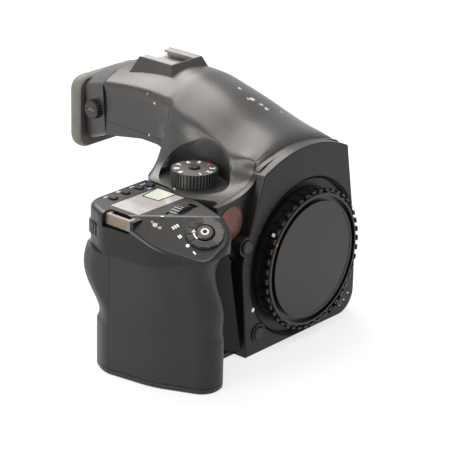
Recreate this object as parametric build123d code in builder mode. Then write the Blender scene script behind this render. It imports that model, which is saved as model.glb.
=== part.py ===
from build123d import *
import os
from math import cos, radians, sin

# A single-lens-reflex camera body for the 645 medium format, with its body cap on and no digital back.
# +Z is up, the lens faces -Y, the grip is on -X. The origin is the mouth of the tripod socket, under the
# lens axis. Depths are counted backwards from the face of the front plate.

# Fits shared by all pieces
seam = 0.2             # joint line between two fixed covers
gap = 0.3              # room beside a piece that moves
run = 0.05             # radial clearance of a pin in its hole
wall = 2.2             # moulded covers
overrun = 2.0          # how far a cut runs past the surface
skin = 0.8             # thin plates and flanges
standing = (Align.CENTER, Align.CENTER, Align.MIN)

# Body
socket_depth = 30.0    # tripod socket behind the plate's face
lens_axis_z = 42.6
flange_proud = 1.0
body_depth = 61.5
side_reach = 49.0      # right-hand side, from the lens axis
side_top_half = 46.0
side_bend_z = 58.0
corner_radius = 12.0   # rounded lower right edge
base_thickness = 2.6
cover_base_z = 80.0    # lower edge of the top cover
deck_z = 84.5
face_y = -socket_depth

# Front plate
plate_half = 43.4
plate_top_z = 102.0
plate_depth = 7.8
plate_left_shares = ((-1.0, 0.0), (-1.112, 0.51), (-0.756, 0.923))
plate_right_shares = ((0.756, 0.923), (0.988, 0.373), (1.0, 0.0))
plate_bend_radius = 25.0
recess_radius = 40.6
recess_depth = 3.0
recess_slope = 1.6
bevel_share = 0.15     # bevel of a round button, of its radius
wing_depth = 5.0
wing_reach = 62.2
wing_top_z = 84.2
wing_edge_shares = ((0.0, 0.618), (0.05, 0.606), (0.18, 0.549), (0.26, 0.484), (0.316, 0.412), (0.35, 0.294))
valley_reach = 57.0    # bottom of the finger gap, from the lens axis
valley_depth = 17.0
inner_corner = 2       # outline point where the grip's side towards the body starts

# Hood over the prism and the finder
hood_half = 31.5
hood_length = 110.8
hood_rise = 40.5       # crest above the deck
hood_reach = 62.2      # left edge of the deck, from the lens axis
eaves_radius = 3.4
eaves_drop_share = 0.6        # how far the eaves come down when the section is drawn in
# handles of a flank's curve, across and up: beside the foot and beside the eaves, straight and flared
foot_handle_shares = ((0.0, 0.4), (0.6, 0.0))
eaves_handle_shares = ((-0.1, 0.8), (0.85, 0.32))
# depth, half width, eaves height, crest height, left foot, right foot, flare
hood_section_shares = (
    (0.0, 1.0, 0.284, 0.42, 1.0, 0.793, 1.0),
    (0.126, 0.984, 0.345, 0.59, 0.974, 0.95, 1.0),
    (0.271, 0.946, 0.469, 0.741, 0.944, 0.985, 0.95),
    (0.397, 0.902, 0.593, 0.872, 0.912, 0.96, 0.85),
    (0.469, 0.883, 0.654, 0.926, 0.84, 0.87, 0.65),
    (0.523, 0.867, 0.704, 0.965, 0.6, 0.69, 0.35),
    (0.587, 0.857, 0.743, 0.99, 0.4, 0.545, 0.1),
)
finder_section_shares = (
    (0.587, 0.857, 0.743, 0.99, 0.4, 0.545, 0.1),
    (0.7, 0.84, 0.758, 1.0, 0.38, 0.518, 0.0),
    (0.85, 0.81, 0.735, 0.96, 0.37, 0.504, 0.0),
    (1.0, 0.787, 0.691, 0.889, 0.362, 0.494, 0.0),
)
dial_x = -43.5
dial_depth = 36.8
pocket_radius = 14.2
pocket_length = 20.0   # half length of the scoop beside the mode dial, along the body
neck_depth = 72.0
neck_round = 9.0
neck_shares = (0.72, 0.36, 0.48, 0.78)   # corners of the plate that closes the neck below
floor_front_z = 88.6
floor_rear_z = 83.6
parting_z = 92.0
frame_seam_depth = hood_length + plate_depth + seam

# Grip
grip_reach = 104.0
grip_width = grip_reach - valley_reach
grip_front = 14.5      # nose ahead of the plate's face
grip_length = 71.5
grip_seam_z = 63.0
grip_seam_rise = 7.0
grip_seam_run = 29.5
grip_seam_bend = 40.0
grip_split_depth = 37.0
foot_height = 3.0
grip_outline_shares = (
    (0.33, 0.0), (0.606, 0.0), (1.0, 0.44), (1.0, 1.0), (0.138, 0.944), (-0.015, 0.76), (0.079, 0.36)
)
grip_corner_shares = (0.14, 0.14, 0.05, 0.0, 0.17, 0.2, 0.7)   # of the grip's length
# height in parts of the seam's height, finger hollow, thumb rest
grip_level_shares = (
    (0.4, 0.0, 0.0),
    (0.58, 0.08, 0.12),
    (0.74, 0.5, 0.85),
    (0.9, 1.0, 1.0),
    (1.05, 0.6, 0.6),
    (1.2, 0.3, 0.3),
)
finger_hollow = 5.4
thumb_rest = 8.4
hollow_move_shares = (-0.35, 1.0)       # nose corners, of the finger hollow
thumb_move_shares = ((-0.25, 1.1), (0.0, 0.9))

# Cover on top of the grip
shoulder_z = 84.0
shoulder_outline_shares = (
    (0.287, 0.003), (0.72, 0.003), (0.883, 0.315), (1.01, 1.03), (0.138, 1.02), (-0.008, 0.79),
    (0.053, 0.342)
)
shoulder_corner_shares = (0.13, 0.15, 0.0, 0.0, 0.17, 0.2, 0.5)
slope_x = -80.0
slope_z = 78.5
slope_lead = 3.0       # how far the slope's middle lies ahead of the plate's face
slope_normal_shares = (-0.40, -0.36, 0.843)
shoulder_round = 2.6
slope_normal = Vector(*slope_normal_shares)

# Mirror box
box_half = 36.0
box_inner_half = 31.0
box_front_depth = 6.2
box_front_wall = 2.6
box_back_depth = 55.4
box_low_z = base_thickness + skin + seam
box_floor_z = 12.0
box_ceiling_z = 72.0
box_top_z = 77.0
throat_clear_radius = 29.2
mirror_relief = 1.4
screen_half = 29.0
screen_front_depth = 14.0
screen_back_depth = 50.0
screen_thickness = 2.0
screen_ledge = 2.0
screen_z = 74.5

# Lens mount
mount_radius = 33.0
throat_radius = 27.0
lug_groove_radius = 29.0
lug_groove_depth = 1.6
mount_screw_count = 5
mount_screw_circle = 30.9
mount_screw_start = 54.0
mount_screw_radius = 0.9
lock_pin_radius = 1.2
lock_pin_angle = 155.0
lock_pin_circle = 30.9
lock_pin_proud = 1.3
lock_pin_back_depth = 6.8
lens_button_x = -34.7
lens_button_z = 11.4
lens_button_radius = 3.4
dof_button_x = -45.4
dof_button_z = 60.8
dof_button_radius = 3.4
button_collar = 1.6
button_proud = 1.4
button_back_depth = 4.2
lever_circle = 44.2
lever_width = 2.6
lever_angle = -50.0
lever_sweep = 14.0
lever_tab_angle = 5.0
lever_proud = 2.4
lever_plate = 1.4
lever_margin = 1.1
lever_plate_angle = 11.0
lever_room_angle = 1.0
lamp_x = -52.0
lamp_z = 73.6
lamp_radius = 8.6
lamp_thickness = 2.2
lamp_proud = 0.3

# Body cap
cap_radius = 34.8
cap_rim_radius = 35.4
cap_tail_radius = 36.2
cap_front = 6.5
cap_tail_depth = 2.4
cap_disc_radius = 30.8
cap_groove_radius = 33.4
cap_groove_depth = 2.6
cap_plate = 2.4
cap_tail_length = 1.6
cap_skirt_inner = 33.5
cap_spigot_radius = 26.7
cap_spigot_wall = 1.8
cap_lug_radius = 28.6
cap_lug_angle = 40.0
cap_lug_thickness = 1.4
cap_lug_depth = 3.4
cap_tooth_count = 30
cap_tooth_width = 2.4
cap_lug_start = 90.0
cap_lug_count = 3
mount_slot_room = 4.0    # degrees
cap_turn = 60.0
cap_sink = 0.4

# Mirrors and autofocus
hinge_depth = 53.6
hinge_z = 66.0
mirror_length = 45.0
mirror_half = 28.0
mirror_thickness = 2.2
mirror_pin_radius = 1.0
mirror_pin_reach = 33.0
sub_seat_share = 0.58
sub_offset = 2.9
sub_half = 10.0
sub_length = 14.0
sub_thickness = 1.0
sub_pin_radius = 0.7
sub_ear = 2.0
af_half = 11.0
af_front_depth = 37.0
af_back_depth = 52.0

# Shutter
shutter_front_depth = 55.6
shutter_back_depth = 59.2
shutter_plate = 0.5
shutter_half = 35.0
shutter_low_z = 4.2
shutter_top_z = 79.6
shutter_rail = 0.6
slot_half = 31.5
gate_width = 57.0
gate_height = 42.5
gate_rim = 3.2
blade_half = 31.2
blade_height = 15.3
blade_lap = 1.45
blade_thickness = 0.2
blade_pitch = 0.42
blade_room = 0.15
blade_margin = 0.25
blade_count = 3
blade_parked_top_z = 63.4
frame_plate_depth = 59.4

# Prism and eyepiece
prism_half = 22.0
prism_front_depth = 13.0
prism_length = 53.0
prism_rise = 32.0
prism_side_shares = ((0.0, 0.0), (0.72, 0.0), (1.0, 0.43), (1.0, 0.93), (0.62, 1.0), (0.0, 0.42))
prism_ridge = 9.0
eyepiece_length = 15.0
eyepiece_half = 22.6
eyepiece_floor_z = 77.5
eyepiece_eaves_z = 108.0
eyepiece_crest_z = 115.0
eyecup_gap = 1.6
eyecup_length = 8.0
eyecup_half = 22.4
eyecup_floor_z = 73.0
eyecup_eaves_z = 104.5
eyecup_crest_z = 110.5
eyecup_taper = 2.0
eyepiece_axis_z = 91.0
lens_radius = 12.0
lens_thickness = 6.0
eyecup_window_half = 15.0
eyecup_window_rise = 10.5
diopter_radius = 5.0
diopter_length = 4.0
diopter_stem = 1.2
diopter_ribs = 20
diopter_depth = 126.0
diopter_z = 97.0

# Accessory shoe
shoe_front_depth = 83.0
shoe_length = 21.0
shoe_half = 11.0
shoe_slot_half = 9.45
shoe_mouth_half = 6.4
shoe_floor_z = 124.6
shoe_slot_height = 2.1
shoe_lip = 1.2
shoe_plate = 1.2
shoe_bed_spread = 5.0
shoe_bed_z = 118.0
shoe_pin_radius = 0.9
shoe_pin_spread = 4.0

# Controls on the deck
mode_dial_radius = 11.8
mode_dial_height = 7.2
mode_dial_ribs = 44
mode_dial_rib = 0.5
dial_stem_radius = 3.0
mode_lock_radius = 2.6
mode_lock_travel = 1.0
mode_lock_depth = 1.8
info_button_radius = 2.2
info_button_flange = 0.5
info_button_proud = 0.9
info_button_shares = ((0.368, 0.91), (0.572, 0.922), (0.774, 0.92), (0.915, 0.905))
info_button_depth = 3.4
front_dial_x = -74.8
front_dial_depth = 16.6
front_dial_radius = 11.6
front_dial_width = 4.6
front_dial_proud = 2.0
front_dial_ribs = 40
front_dial_pin = 1.0
rear_dial_x = -91.6
rear_dial_depth = 46.4
rear_dial_radius = 11.4
rear_dial_width = 5.4
rear_dial_z = 70.2
rear_dial_ribs = 36
rear_dial_pin = 1.2
release_radius = 4.2
release_stem = 1.6
ring_radius = 9.0
ring_inner = 5.0
ring_sink = 3.0
ring_rise = 1.2
ring_notches = 12
ring_notch = 0.5
ring_notch_length = 1.5
release_proud = 2.2
release_depth = 1.0
release_reach = 8.0
release_hole = 1.1
window_low_share = (0.208, 0.575)
window_high_share = (0.902, 0.84)
window_thickness = 1.2
display_thickness = 2.4
display_margin = 4.0
lug_depth = 25.0
lug_length = 16.0
lug_height = 7.0
lug_thickness = 1.8
lug_right_depth = 28.0
lug_right_z = 66.0
lug_right_sink = 4.4

# Rear controls and electrics
rear_button_x = -70.0
rear_button_z = 74.0
rear_button_radius = 2.6
rear_button_depth = 58.9
latch_x = -40.0
latch_half = 7.0
latch_height = 4.0
latch_travel = 4.0
latch_z = 73.0
latch_stem = 1.6
latch_thickness = 2.2
contact_half = 9.0
contact_height = 7.0
contact_z = 9.5
contact_pins = 8
contact_pin_radius = 0.6
board_x = -42.6
board_thickness = 1.6
board_front_depth = 22.0
board_back_depth = 54.0
board_low_z = 8.0
board_high_z = 72.0
stand_radius = 1.5
chip_thickness = 1.2
chip_shares = ((0.3, 0.75, 0.2), (0.72, 0.6, 0.16), (0.72, 0.86, 0.12))
motor_x = -50.2
motor_depth = 32.0
motor_radius = 6.2
motor_length = 30.0
motor_shaft = 1.0
pinion_teeth = 12
pinion_radius = 3.0
pinion_length = 3.0
door_front_depth = 24.0
door_back_depth = 46.0
door_low_z = 20.0
door_high_z = 52.0
door_thickness = 1.6
door_pin = 0.5
door_pin_length = 1.6
door_sink = 0.2
terminal_radius = 3.2
terminal_shares = (0.25, 0.5, 0.75)

# Battery case
cell_radius = 6.9
cell_length = 50.0
cell_nipple_radius = 2.76
case_wall = 1.2
case_x = -80.2
case_front_depth = 5.0
case_height = 57.0
case_columns = 2
case_rows = 3
knob_radius = 6.0
knob_height = 1.6
tripod_radius = 3.175
tripod_large_radius = 4.76
tripod_large_lead = 14.0   # large socket ahead of the small one
socket_height = 9.0
socket_wall = 2.0
screw_head_radius = 1.7
screw_head_height = 1.0
screw_length = 8.0
base_screw_shares = ((0.68, 0.25), (0.68, 0.85), (-0.68, 0.85), (-0.68, 0.25))


def y_at(depth):
    """Y of a place this far behind the plate's face."""
    return face_y + depth


def upright(y):
    """Plane across the body at this Y: sketch x is +X, sketch y is +Z, its normal points to the front."""
    return Plane.XZ.offset(-y)


def block(low, high, mode=Mode.ADD, plane=Plane.XY):
    """Box between two corners, given on a plane and above it."""
    sides = [b - a for a, b in zip(low, high)]
    with Locations(Plane(origin=plane.from_local_coords(low), x_dir=plane.x_dir, z_dir=plane.z_dir)):
        Box(*sides, align=(Align.MIN, Align.MIN, Align.MIN), mode=mode)


def rod(start, direction, radius, length, mode=Mode.ADD):
    """Cylinder from a point along a direction."""
    with Locations(Plane(origin=start, z_dir=direction)):
        Cylinder(radius, length, align=standing, mode=mode)


def between(start, end, share):
    """Value this share of the way from one value to the other."""
    return start + (end - start) * share


def turned(place, direction, points, mode=Mode.ADD):
    """Profile of (radius, height) points turned round the line from a place along a direction."""
    across = Plane(origin=place, z_dir=direction).x_dir
    side = Plane(origin=place, x_dir=across, z_dir=across.cross(Vector(*direction)))
    revolve(polygon(side, points), axis=Axis(place, direction), mode=mode)


def lens_turned(points, mode=Mode.ADD):
    """Profile of (radius, depth) points turned round the lens axis."""
    turned((0, face_y, lens_axis_z), (0, 1, 0), points, mode)


def on_lens(radius, angle, y):
    """Place on a circle round the lens axis."""
    return (radius * cos(radians(angle)), y, lens_axis_z + radius * sin(radians(angle)))


def polygon(plane, points):
    """Straight-sided outline on a plane."""
    with BuildSketch(plane) as outline:
        with BuildLine():
            Polyline(*points, close=True)
        make_face()
    return outline.sketch


def slab(plane, points, amount, mode=Mode.ADD, both=False):
    """Straight-sided outline on a plane, extruded."""
    extrude(polygon(plane, points), amount=amount, both=both, mode=mode)


def arc_band(inner, outer, middle, sweep, front_depth, back_depth, mode=Mode.ADD):
    """Piece of a ring round the lens axis between two depths."""
    corners = [
        [(radius * cos(radians(angle)), radius * sin(radians(angle)))
         for angle in (middle - sweep / 2, middle, middle + sweep / 2)]
        for radius in (outer, inner)
    ]
    with BuildSketch(lens_plane.offset(-back_depth)) as band:
        with BuildLine():
            ThreePointArc(*corners[0])
            Line(corners[0][2], corners[1][2])
            ThreePointArc(*corners[1])
            Line(corners[1][0], corners[0][0])
        make_face()
    extrude(band.sketch, amount=back_depth - front_depth, mode=mode)


def screw(place, direction):
    """Countersunk screw. The place is on the surface that its head is sunk into."""
    rod(place, direction, mount_screw_radius, screw_length)
    start = Vector(*place) + Vector(*direction) * seam
    rod(start, direction, screw_head_radius, screw_head_height)


def screw_hole(place, direction):
    """Stepped hole for a screw and its head."""
    rod(place, direction, mount_screw_radius + run, screw_length + seam, mode=Mode.SUBTRACT)
    start = Vector(*place) - Vector(*direction) * overrun
    rod(start, direction, screw_head_radius + seam, overrun + seam + screw_head_height, mode=Mode.SUBTRACT)


def button(place, direction, radius, proud, depth, flange=0):
    """Round button with a bevelled top. It reaches into the body, where a flange may keep it in."""
    bevel = radius * bevel_share
    foot = [(radius + flange, -depth), (radius + flange, skin - depth)] if flange else []
    top = [(radius, proud - bevel), (radius - bevel, proud), (0, proud)]
    turned(place, direction, [(0, -depth), *foot, (radius, skin - depth if flange else -depth), *top])


def ribbed_disc(plane, radius, ribs, rib, height, mode=Mode.ADD):
    """Disc whose edge has grooves cut along its axis."""
    with BuildSketch(plane) as disc:
        Circle(radius)
        with PolarLocations(radius, ribs):
            Rectangle(rib * 2, rib * 2, mode=Mode.SUBTRACT)
    extrude(disc.sketch, amount=height, mode=mode)


def save(part, name):
    """Label a finished piece and write it."""
    part.label = name
    export_step(part, f"parts/{name}.step")


def hood_section(shares, inset):
    """Section of the hood, drawn in by the inset: skirts, hollow sides, rounded eaves and an arched roof."""
    depth, half, eaves, crest, left, right, flare = shares
    top = hood_half * half - inset
    eaves_z = deck_z + hood_rise * eaves - inset * eaves_drop_share
    crest_z = deck_z + hood_rise * crest - inset
    foot_z = deck_z - inset
    base_z = cover_base_z - (overrun if inset else 0)
    round_in = eaves_radius
    roof_x = top - round_in
    roof_z = eaves_z + (crest_z - eaves_z) * (1 - (roof_x / top) ** 2)
    ends = {}
    for side, reach in ((-1, hood_reach * left), (1, side_top_half * right)):
        foot = side * (reach - inset)
        eaves_x = side * top
        low, high = [
            (between(foot, eaves_x, between(straight[0], flared[0], flare)),
             between(foot_z, eaves_z, between(straight[1], flared[1], flare)))
            for straight, flared in (foot_handle_shares, eaves_handle_shares)
        ]
        drop = Vector(high[0] - eaves_x, high[1] - eaves_z).normalized() * round_in
        turn = (eaves_x + drop.X, eaves_z + drop.Y)
        ends[side] = (foot, low, high, turn, (eaves_x, eaves_z), (side * roof_x, roof_z))
    with BuildSketch(upright(y_at(plate_depth + seam + hood_length * depth))) as section:
        with BuildLine():
            foot, low, high, turn, corner, roof = ends[-1]
            Line((foot, base_z), (foot, foot_z))
            Bezier((foot, foot_z), low, high, turn)
            Bezier(turn, corner, roof)
            foot_r, low_r, high_r, turn_r, corner_r, roof_r = ends[1]
            ThreePointArc(roof, (0, crest_z), roof_r)
            Bezier(roof_r, corner_r, turn_r)
            Bezier(turn_r, high_r, low_r, (foot_r, foot_z))
            Line((foot_r, foot_z), (foot_r, base_z))
            Line((foot_r, base_z), (foot, base_z))
        make_face()
    return section.sketch


def hood_loft(inset, mode=Mode.ADD):
    """The whole hood, from the front seam to the finder's frame."""
    for table in (hood_section_shares, finder_section_shares):
        loft([hood_section(shares, inset) for shares in table], mode=mode)


def finder_underside(raised, mode):
    """All that lies under the finder's floor, behind the neck."""
    back = y_at(frame_seam_depth) + overrun
    neck = y_at(neck_depth) - raised
    low = cover_base_z - hood_rise
    turn_z = floor_front_z + raised - neck_round
    with BuildSketch(Plane.YZ) as side:
        with BuildLine():
            Line((neck, low), (neck, turn_z))
            ThreePointArc(
                (neck, turn_z),
                (neck + neck_round * (1 - cos(radians(45))), turn_z + neck_round * sin(radians(45))),
                (neck + neck_round, turn_z + neck_round),
            )
            Polyline(
                (neck + neck_round, turn_z + neck_round),
                (neck + pocket_length, floor_front_z + raised),
                (back, floor_rear_z + raised),
                (back, low),
                (neck, low),
            )
        make_face()
    extrude(side.sketch, amount=hood_reach + overrun, both=True, mode=mode)


def dial_pocket(grown, mode):
    """Scoop in the hood's left flank beside the mode dial, standing on the deck."""
    with BuildSketch(Plane.XY.offset(deck_z - grown)) as plan:
        with Locations((dial_x, y_at(dial_depth))):
            Ellipse(pocket_radius + grown, pocket_length + grown)
    extrude(plan.sketch, amount=hood_rise, mode=mode)


def hood_cavity():
    """Space inside the hood, open below."""
    with BuildPart() as cavity:
        hood_loft(wall)
        dial_pocket(wall, Mode.SUBTRACT)
        finder_underside(wall, Mode.SUBTRACT)
    return cavity.part


def hood_shell():
    """Hood and finder floor in one, before the parting line divides them."""
    with BuildPart() as shell:
        hood_loft(0)
        dial_pocket(0, Mode.SUBTRACT)
        finder_underside(0, Mode.SUBTRACT)
        add(hood_cavity(), mode=Mode.SUBTRACT)
    return shell.part


def body_section(depth, half, top_half, inset):
    """Outline of the body across: flat base, rounded lower right edge, leaning right side."""
    left = -valley_reach - overrun + (inset and -overrun)
    with BuildSketch(upright(y_at(depth))) as section:
        with BuildLine():
            FilletPolyline(
                (left, inset),
                (half - inset, inset),
                (half - inset, side_bend_z),
                (top_half - inset, cover_base_z + (inset and overrun)),
                (left, cover_base_z + (inset and overrun)),
                radius=(0, corner_radius - inset, side_bend_z, 0, 0),
                close=True,
            )
        make_face()
    return section.sketch


def body_hull(inset, mode=Mode.ADD):
    """Body behind the front cover, from the plate's width out to the full width."""
    start = plate_depth + seam - (inset and overrun)
    sections = (
        (start, plate_half, side_top_half * hood_section_shares[0][5], inset),
        (start + corner_radius, side_reach - skin, side_top_half - skin, inset),
        (body_depth - overrun - seam + (inset and overrun * 2), side_reach, side_top_half, inset),
    )
    loft([body_section(*values) for values in sections], ruled=True, mode=mode)


def grip_place(share_x, share_y):
    """Place given as shares of the grip's width and length."""
    return (-grip_reach + grip_width * share_x, y_at(-grip_front) + grip_length * share_y)


def grip_sketch(z, level, shrink):
    """Outline of the grip at one level: nose, finger hollow, thumb rest. Shrink draws it in by the wall."""
    height, hollow, rest = level
    nose = [finger_hollow * hollow * share for share in hollow_move_shares]
    thumb = [[thumb_rest * rest * share for share in shares] for shares in thumb_move_shares]
    moves = [nose, nose, (0, 0), (0, 0), *thumb, (0, 0)]
    return shared_outline(z, grip_outline_shares, grip_corner_shares, moves, shrink)


def shared_outline(z, outline, corners, moves, shrink):
    """Rounded outline over the grip's length and width. Its side towards the body stays open when shrunk."""
    centre = Vector(*grip_place(0.5, 0.5))
    points = [Vector(*grip_place(*share)) + Vector(*move) for share, move in zip(outline, moves)]
    if shrink:
        edge = (points[inner_corner] - points[inner_corner - 1]).normalized()
        front_corner = points[inner_corner] + edge * overrun * 3 + edge.rotate(Axis.Z, 90) * shrink
        rear_corner = points[inner_corner + 1] + Vector(overrun * 2, -shrink)
        points = [
            Vector(centre.X + (point.X - centre.X) * (1 - shrink * 2 / grip_width),
                   centre.Y + (point.Y - centre.Y) * (1 - shrink * 2 / grip_length))
            for point in points
        ]
        points[inner_corner] = front_corner
        points[inner_corner + 1] = rear_corner
    with BuildSketch(Plane.XY.offset(z)) as section:
        with BuildLine():
            radii = [max(grip_length * share - shrink, 0) for share in corners]
            FilletPolyline(*points, radius=radii, close=True)
        make_face()
    return section.sketch


def grip_body(shrink, mode=Mode.ADD):
    """Grip as one column, straight at its foot and swelling above."""
    sections = [grip_sketch(grip_seam_z * level[0], level, shrink) for level in grip_level_shares]
    foot = grip_sketch(0, grip_level_shares[0], shrink)
    extrude(foot, amount=grip_seam_z * grip_level_shares[0][0], mode=mode)
    loft(sections, mode=mode)


def above_seam(lift, mode):
    """All that lies above the seam between the grip and its top cover."""
    back = y_at(body_depth) + grip_seam_bend
    front = y_at(-grip_front)
    top = deck_z + hood_rise
    low_z = grip_seam_z + lift
    high_z = low_z + grip_seam_rise
    with BuildSketch(Plane.YZ.offset(-grip_reach - overrun)) as side:
        with BuildLine():
            Line((back, top), (back, low_z))
            FilletPolyline(
                (back, low_z),
                (front + grip_seam_run, low_z),
                (front, high_z),
                (front - overrun, high_z),
                radius=(grip_seam_bend, 0),
            )
            Polyline((front - overrun, high_z), (front - overrun, top), (back, top))
        make_face()
    extrude(side.sketch, amount=grip_reach, mode=mode)


def shoulder_body(shrink, drop):
    """Cover on top of the grip before its openings: a rounded block with its front planed to a slope."""
    still = [(0, 0)] * len(shoulder_outline_shares)
    top = shoulder_z - drop
    low_z = grip_seam_z - overrun
    outline = shared_outline(low_z, shoulder_outline_shares, shoulder_corner_shares, still, shrink)
    extrude(outline, amount=top - low_z)
    middle = Vector(slope_x, y_at(-slope_lead), slope_z) - slope_normal.normalized() * drop
    with Locations(Plane(origin=middle, z_dir=slope_normal)):
        Box(grip_reach, grip_reach, grip_reach, align=standing, mode=Mode.SUBTRACT)


os.makedirs("parts", exist_ok=True)

lens_plane = Plane(origin=(0, face_y, lens_axis_z), x_dir=(1, 0, 0), z_dir=(0, -1, 0))
flange_y = y_at(-flange_proud)
slope_plane = Plane(origin=(slope_x, y_at(-slope_lead), slope_z), z_dir=slope_normal)
hole_radius = mount_radius + seam
box_front_y = y_at(box_front_depth)
cavity_top_z = cover_base_z - seam
lever_plate_depth = box_front_depth - gap - lever_plate
front_buttons = (
    (dof_button_x, dof_button_z, dof_button_radius),
    (lens_button_x, lens_button_z, lens_button_radius),
)
shoe_middle_y = y_at(shoe_front_depth + shoe_length / 2)
shoe_pin_places = [(0, shoe_middle_y)] + [
    (x, shoe_middle_y + y)
    for x in (-shoe_pin_spread, shoe_pin_spread)
    for y in (-shoe_pin_spread, shoe_pin_spread)
]
sockets = ((0, tripod_radius), (-tripod_large_lead, tripod_large_radius))
base_screw_places = [(side_reach * x, y_at(body_depth * y), 0) for x, y in base_screw_shares]
mount_screw_angles = [mount_screw_start + 360 / mount_screw_count * step for step in range(mount_screw_count)]
mount_screw_places = [on_lens(mount_screw_circle, angle, flange_y) for angle in mount_screw_angles]
pin_place = on_lens(lock_pin_circle, lock_pin_angle, y_at(-flange_proud - lock_pin_proud))


def outer_side(low_z, high_z):
    """Walls of the body hull between two heights."""
    body_hull(0)
    body_hull(wall, mode=Mode.SUBTRACT)
    block(
        (-hood_reach, y_at(0), low_z),
        (side_reach + overrun, y_at(body_depth), high_z),
        mode=Mode.INTERSECT,
    )


# Front cover: the plate with the mount's recess, the wing beside it and the wall of the finger gap
with BuildPart() as front_cover:
    left_edge = [(plate_half * x, plate_top_z * z) for x, z in plate_left_shares]
    right_edge = [(plate_half * x, plate_top_z * z) for x, z in plate_right_shares]
    with BuildSketch(upright(y_at(plate_depth))):
        with BuildLine():
            FilletPolyline(*left_edge, radius=(plate_bend_radius,))
            ThreePointArc(left_edge[-1], (0, plate_top_z), right_edge[0])
            FilletPolyline(*right_edge, left_edge[0], radius=(plate_top_z, corner_radius))
        make_face()
    extrude(amount=plate_depth)
    fillet(front_cover.faces().sort_by(Axis.Y)[0].edges(), radius=skin)
    with BuildSketch(upright(y_at(plate_depth))):
        with BuildLine():
            wing_foot = [(-wing_reach * (1 - x), plate_top_z * z) for x, z in wing_edge_shares]
            Polyline(wing_foot[0], (-wing_reach, wing_top_z), (-box_half, wing_top_z))
            Polyline((-box_half, wing_top_z), (-box_half, wing_foot[-1][1]), wing_foot[-1])
            Spline(*wing_foot[::-1])
        make_face()
    extrude(amount=plate_depth - wing_depth)
    extrude(
        hood_section(hood_section_shares[0], 0).moved(Location((0, -seam, 0))),
        amount=plate_depth - wing_depth,
    )
    gap_start = (-plate_half + wall / 2, y_at(wall))
    gap_end = (-valley_reach + seam, y_at(valley_depth))
    slab(
        Plane.XY.offset(base_thickness + seam),
        (gap_start, gap_end, (gap_end[0], gap_end[1] + wall), (-box_half - seam, y_at(box_front_depth))),
        grip_seam_z - base_thickness,
    )
    slab(
        Plane.XY.offset(grip_seam_z),
        (
            (-valley_reach + seam, y_at(wing_depth)),
            (-box_half - seam, y_at(wing_depth)),
            (-box_half - seam, y_at(valley_depth)),
            (-valley_reach + seam, y_at(valley_depth)),
        ),
        wall,
    )
    for x, z, radius in front_buttons:
        rod((x, y_at(0), z), (0, 1, 0), radius + button_collar, plate_depth - seam)
    block(
        (-box_half - seam, box_front_y, box_low_z - seam),
        (box_half + seam, y_at(plate_depth) + overrun, box_top_z + seam),
        mode=Mode.SUBTRACT,
    )
    lens_turned(
        ((0, -overrun), (hole_radius, -overrun), (hole_radius, body_depth), (0, body_depth)),
        Mode.SUBTRACT,
    )
    lens_turned(
        (
            (0, -overrun),
            (recess_radius + recess_slope, -overrun),
            (recess_radius + recess_slope, 0),
            (recess_radius, recess_slope),
            (recess_radius, recess_depth),
            (0, recess_depth),
        ),
        Mode.SUBTRACT,
    )
    for x, z, radius in front_buttons:
        rod((x, y_at(-overrun), z), (0, 1, 0), radius + gap, plate_depth + overrun * 2, mode=Mode.SUBTRACT)
    rod((lamp_x, y_at(-overrun), lamp_z), (0, 1, 0), lamp_radius + seam, overrun + wing_depth + lamp_thickness,
        mode=Mode.SUBTRACT)
    slot_reach = lever_width / 2 + gap
    arc_band(
        lever_circle - slot_reach, lever_circle + slot_reach, lever_angle,
        lever_sweep + lever_tab_angle + lever_room_angle, -overrun, plate_depth, Mode.SUBTRACT,
    )
    arc_band(
        lever_circle - slot_reach - lever_margin, lever_circle + slot_reach + lever_margin, lever_angle,
        lever_sweep + lever_plate_angle + lever_room_angle,
        lever_plate_depth - gap, box_front_depth, Mode.SUBTRACT,
    )
save(front_cover.part, "front_cover")

# Top cover: hood, deck with the dial's scoop, and the bed of the accessory shoe
hood = hood_shell()
floor_start_y = y_at(neck_depth - gap - wall)
with BuildPart() as top_cover:
    add(hood)
    block(
        (-hood_reach, floor_start_y, cover_base_z - overrun),
        (hood_reach, y_at(frame_seam_depth) + overrun, parting_z),
        mode=Mode.SUBTRACT,
    )
    bed_middle = y_at(shoe_front_depth + shoe_length / 2)
    with BuildSketch(Plane.XY.offset(shoe_bed_z)) as bed_low:
        with Locations((0, bed_middle)):
            Rectangle((shoe_half + shoe_bed_spread) * 2, shoe_length + shoe_bed_spread * 2)
    with BuildSketch(Plane.XY.offset(shoe_floor_z + shoe_slot_height + shoe_lip)) as bed_high:
        with Locations((0, bed_middle)):
            Rectangle((shoe_half + skin) * 2, shoe_length + skin * 2)
    loft([bed_low.sketch, bed_high.sketch], ruled=True)
    block(
        (-shoe_half - seam, y_at(shoe_front_depth - seam), shoe_floor_z - shoe_plate),
        (shoe_half + seam, y_at(shoe_front_depth + shoe_length) + shoe_bed_spread * 2, deck_z + hood_rise * 2),
        mode=Mode.SUBTRACT,
    )
    rod((dial_x, y_at(dial_depth), deck_z - wall - overrun), (0, 0, 1),
        dial_stem_radius + gap, wall + overrun * 2, mode=Mode.SUBTRACT)
save(top_cover.part, "top_cover")

# Finder floor: the underside of the finder and the rear of the neck
with BuildPart() as finder_floor:
    add(hood)
    block(
        (-hood_reach, floor_start_y + seam, cover_base_z - overrun),
        (hood_reach, y_at(frame_seam_depth) + overrun, parting_z - seam),
        mode=Mode.INTERSECT,
    )
save(finder_floor.part, "finder_floor")

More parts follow.
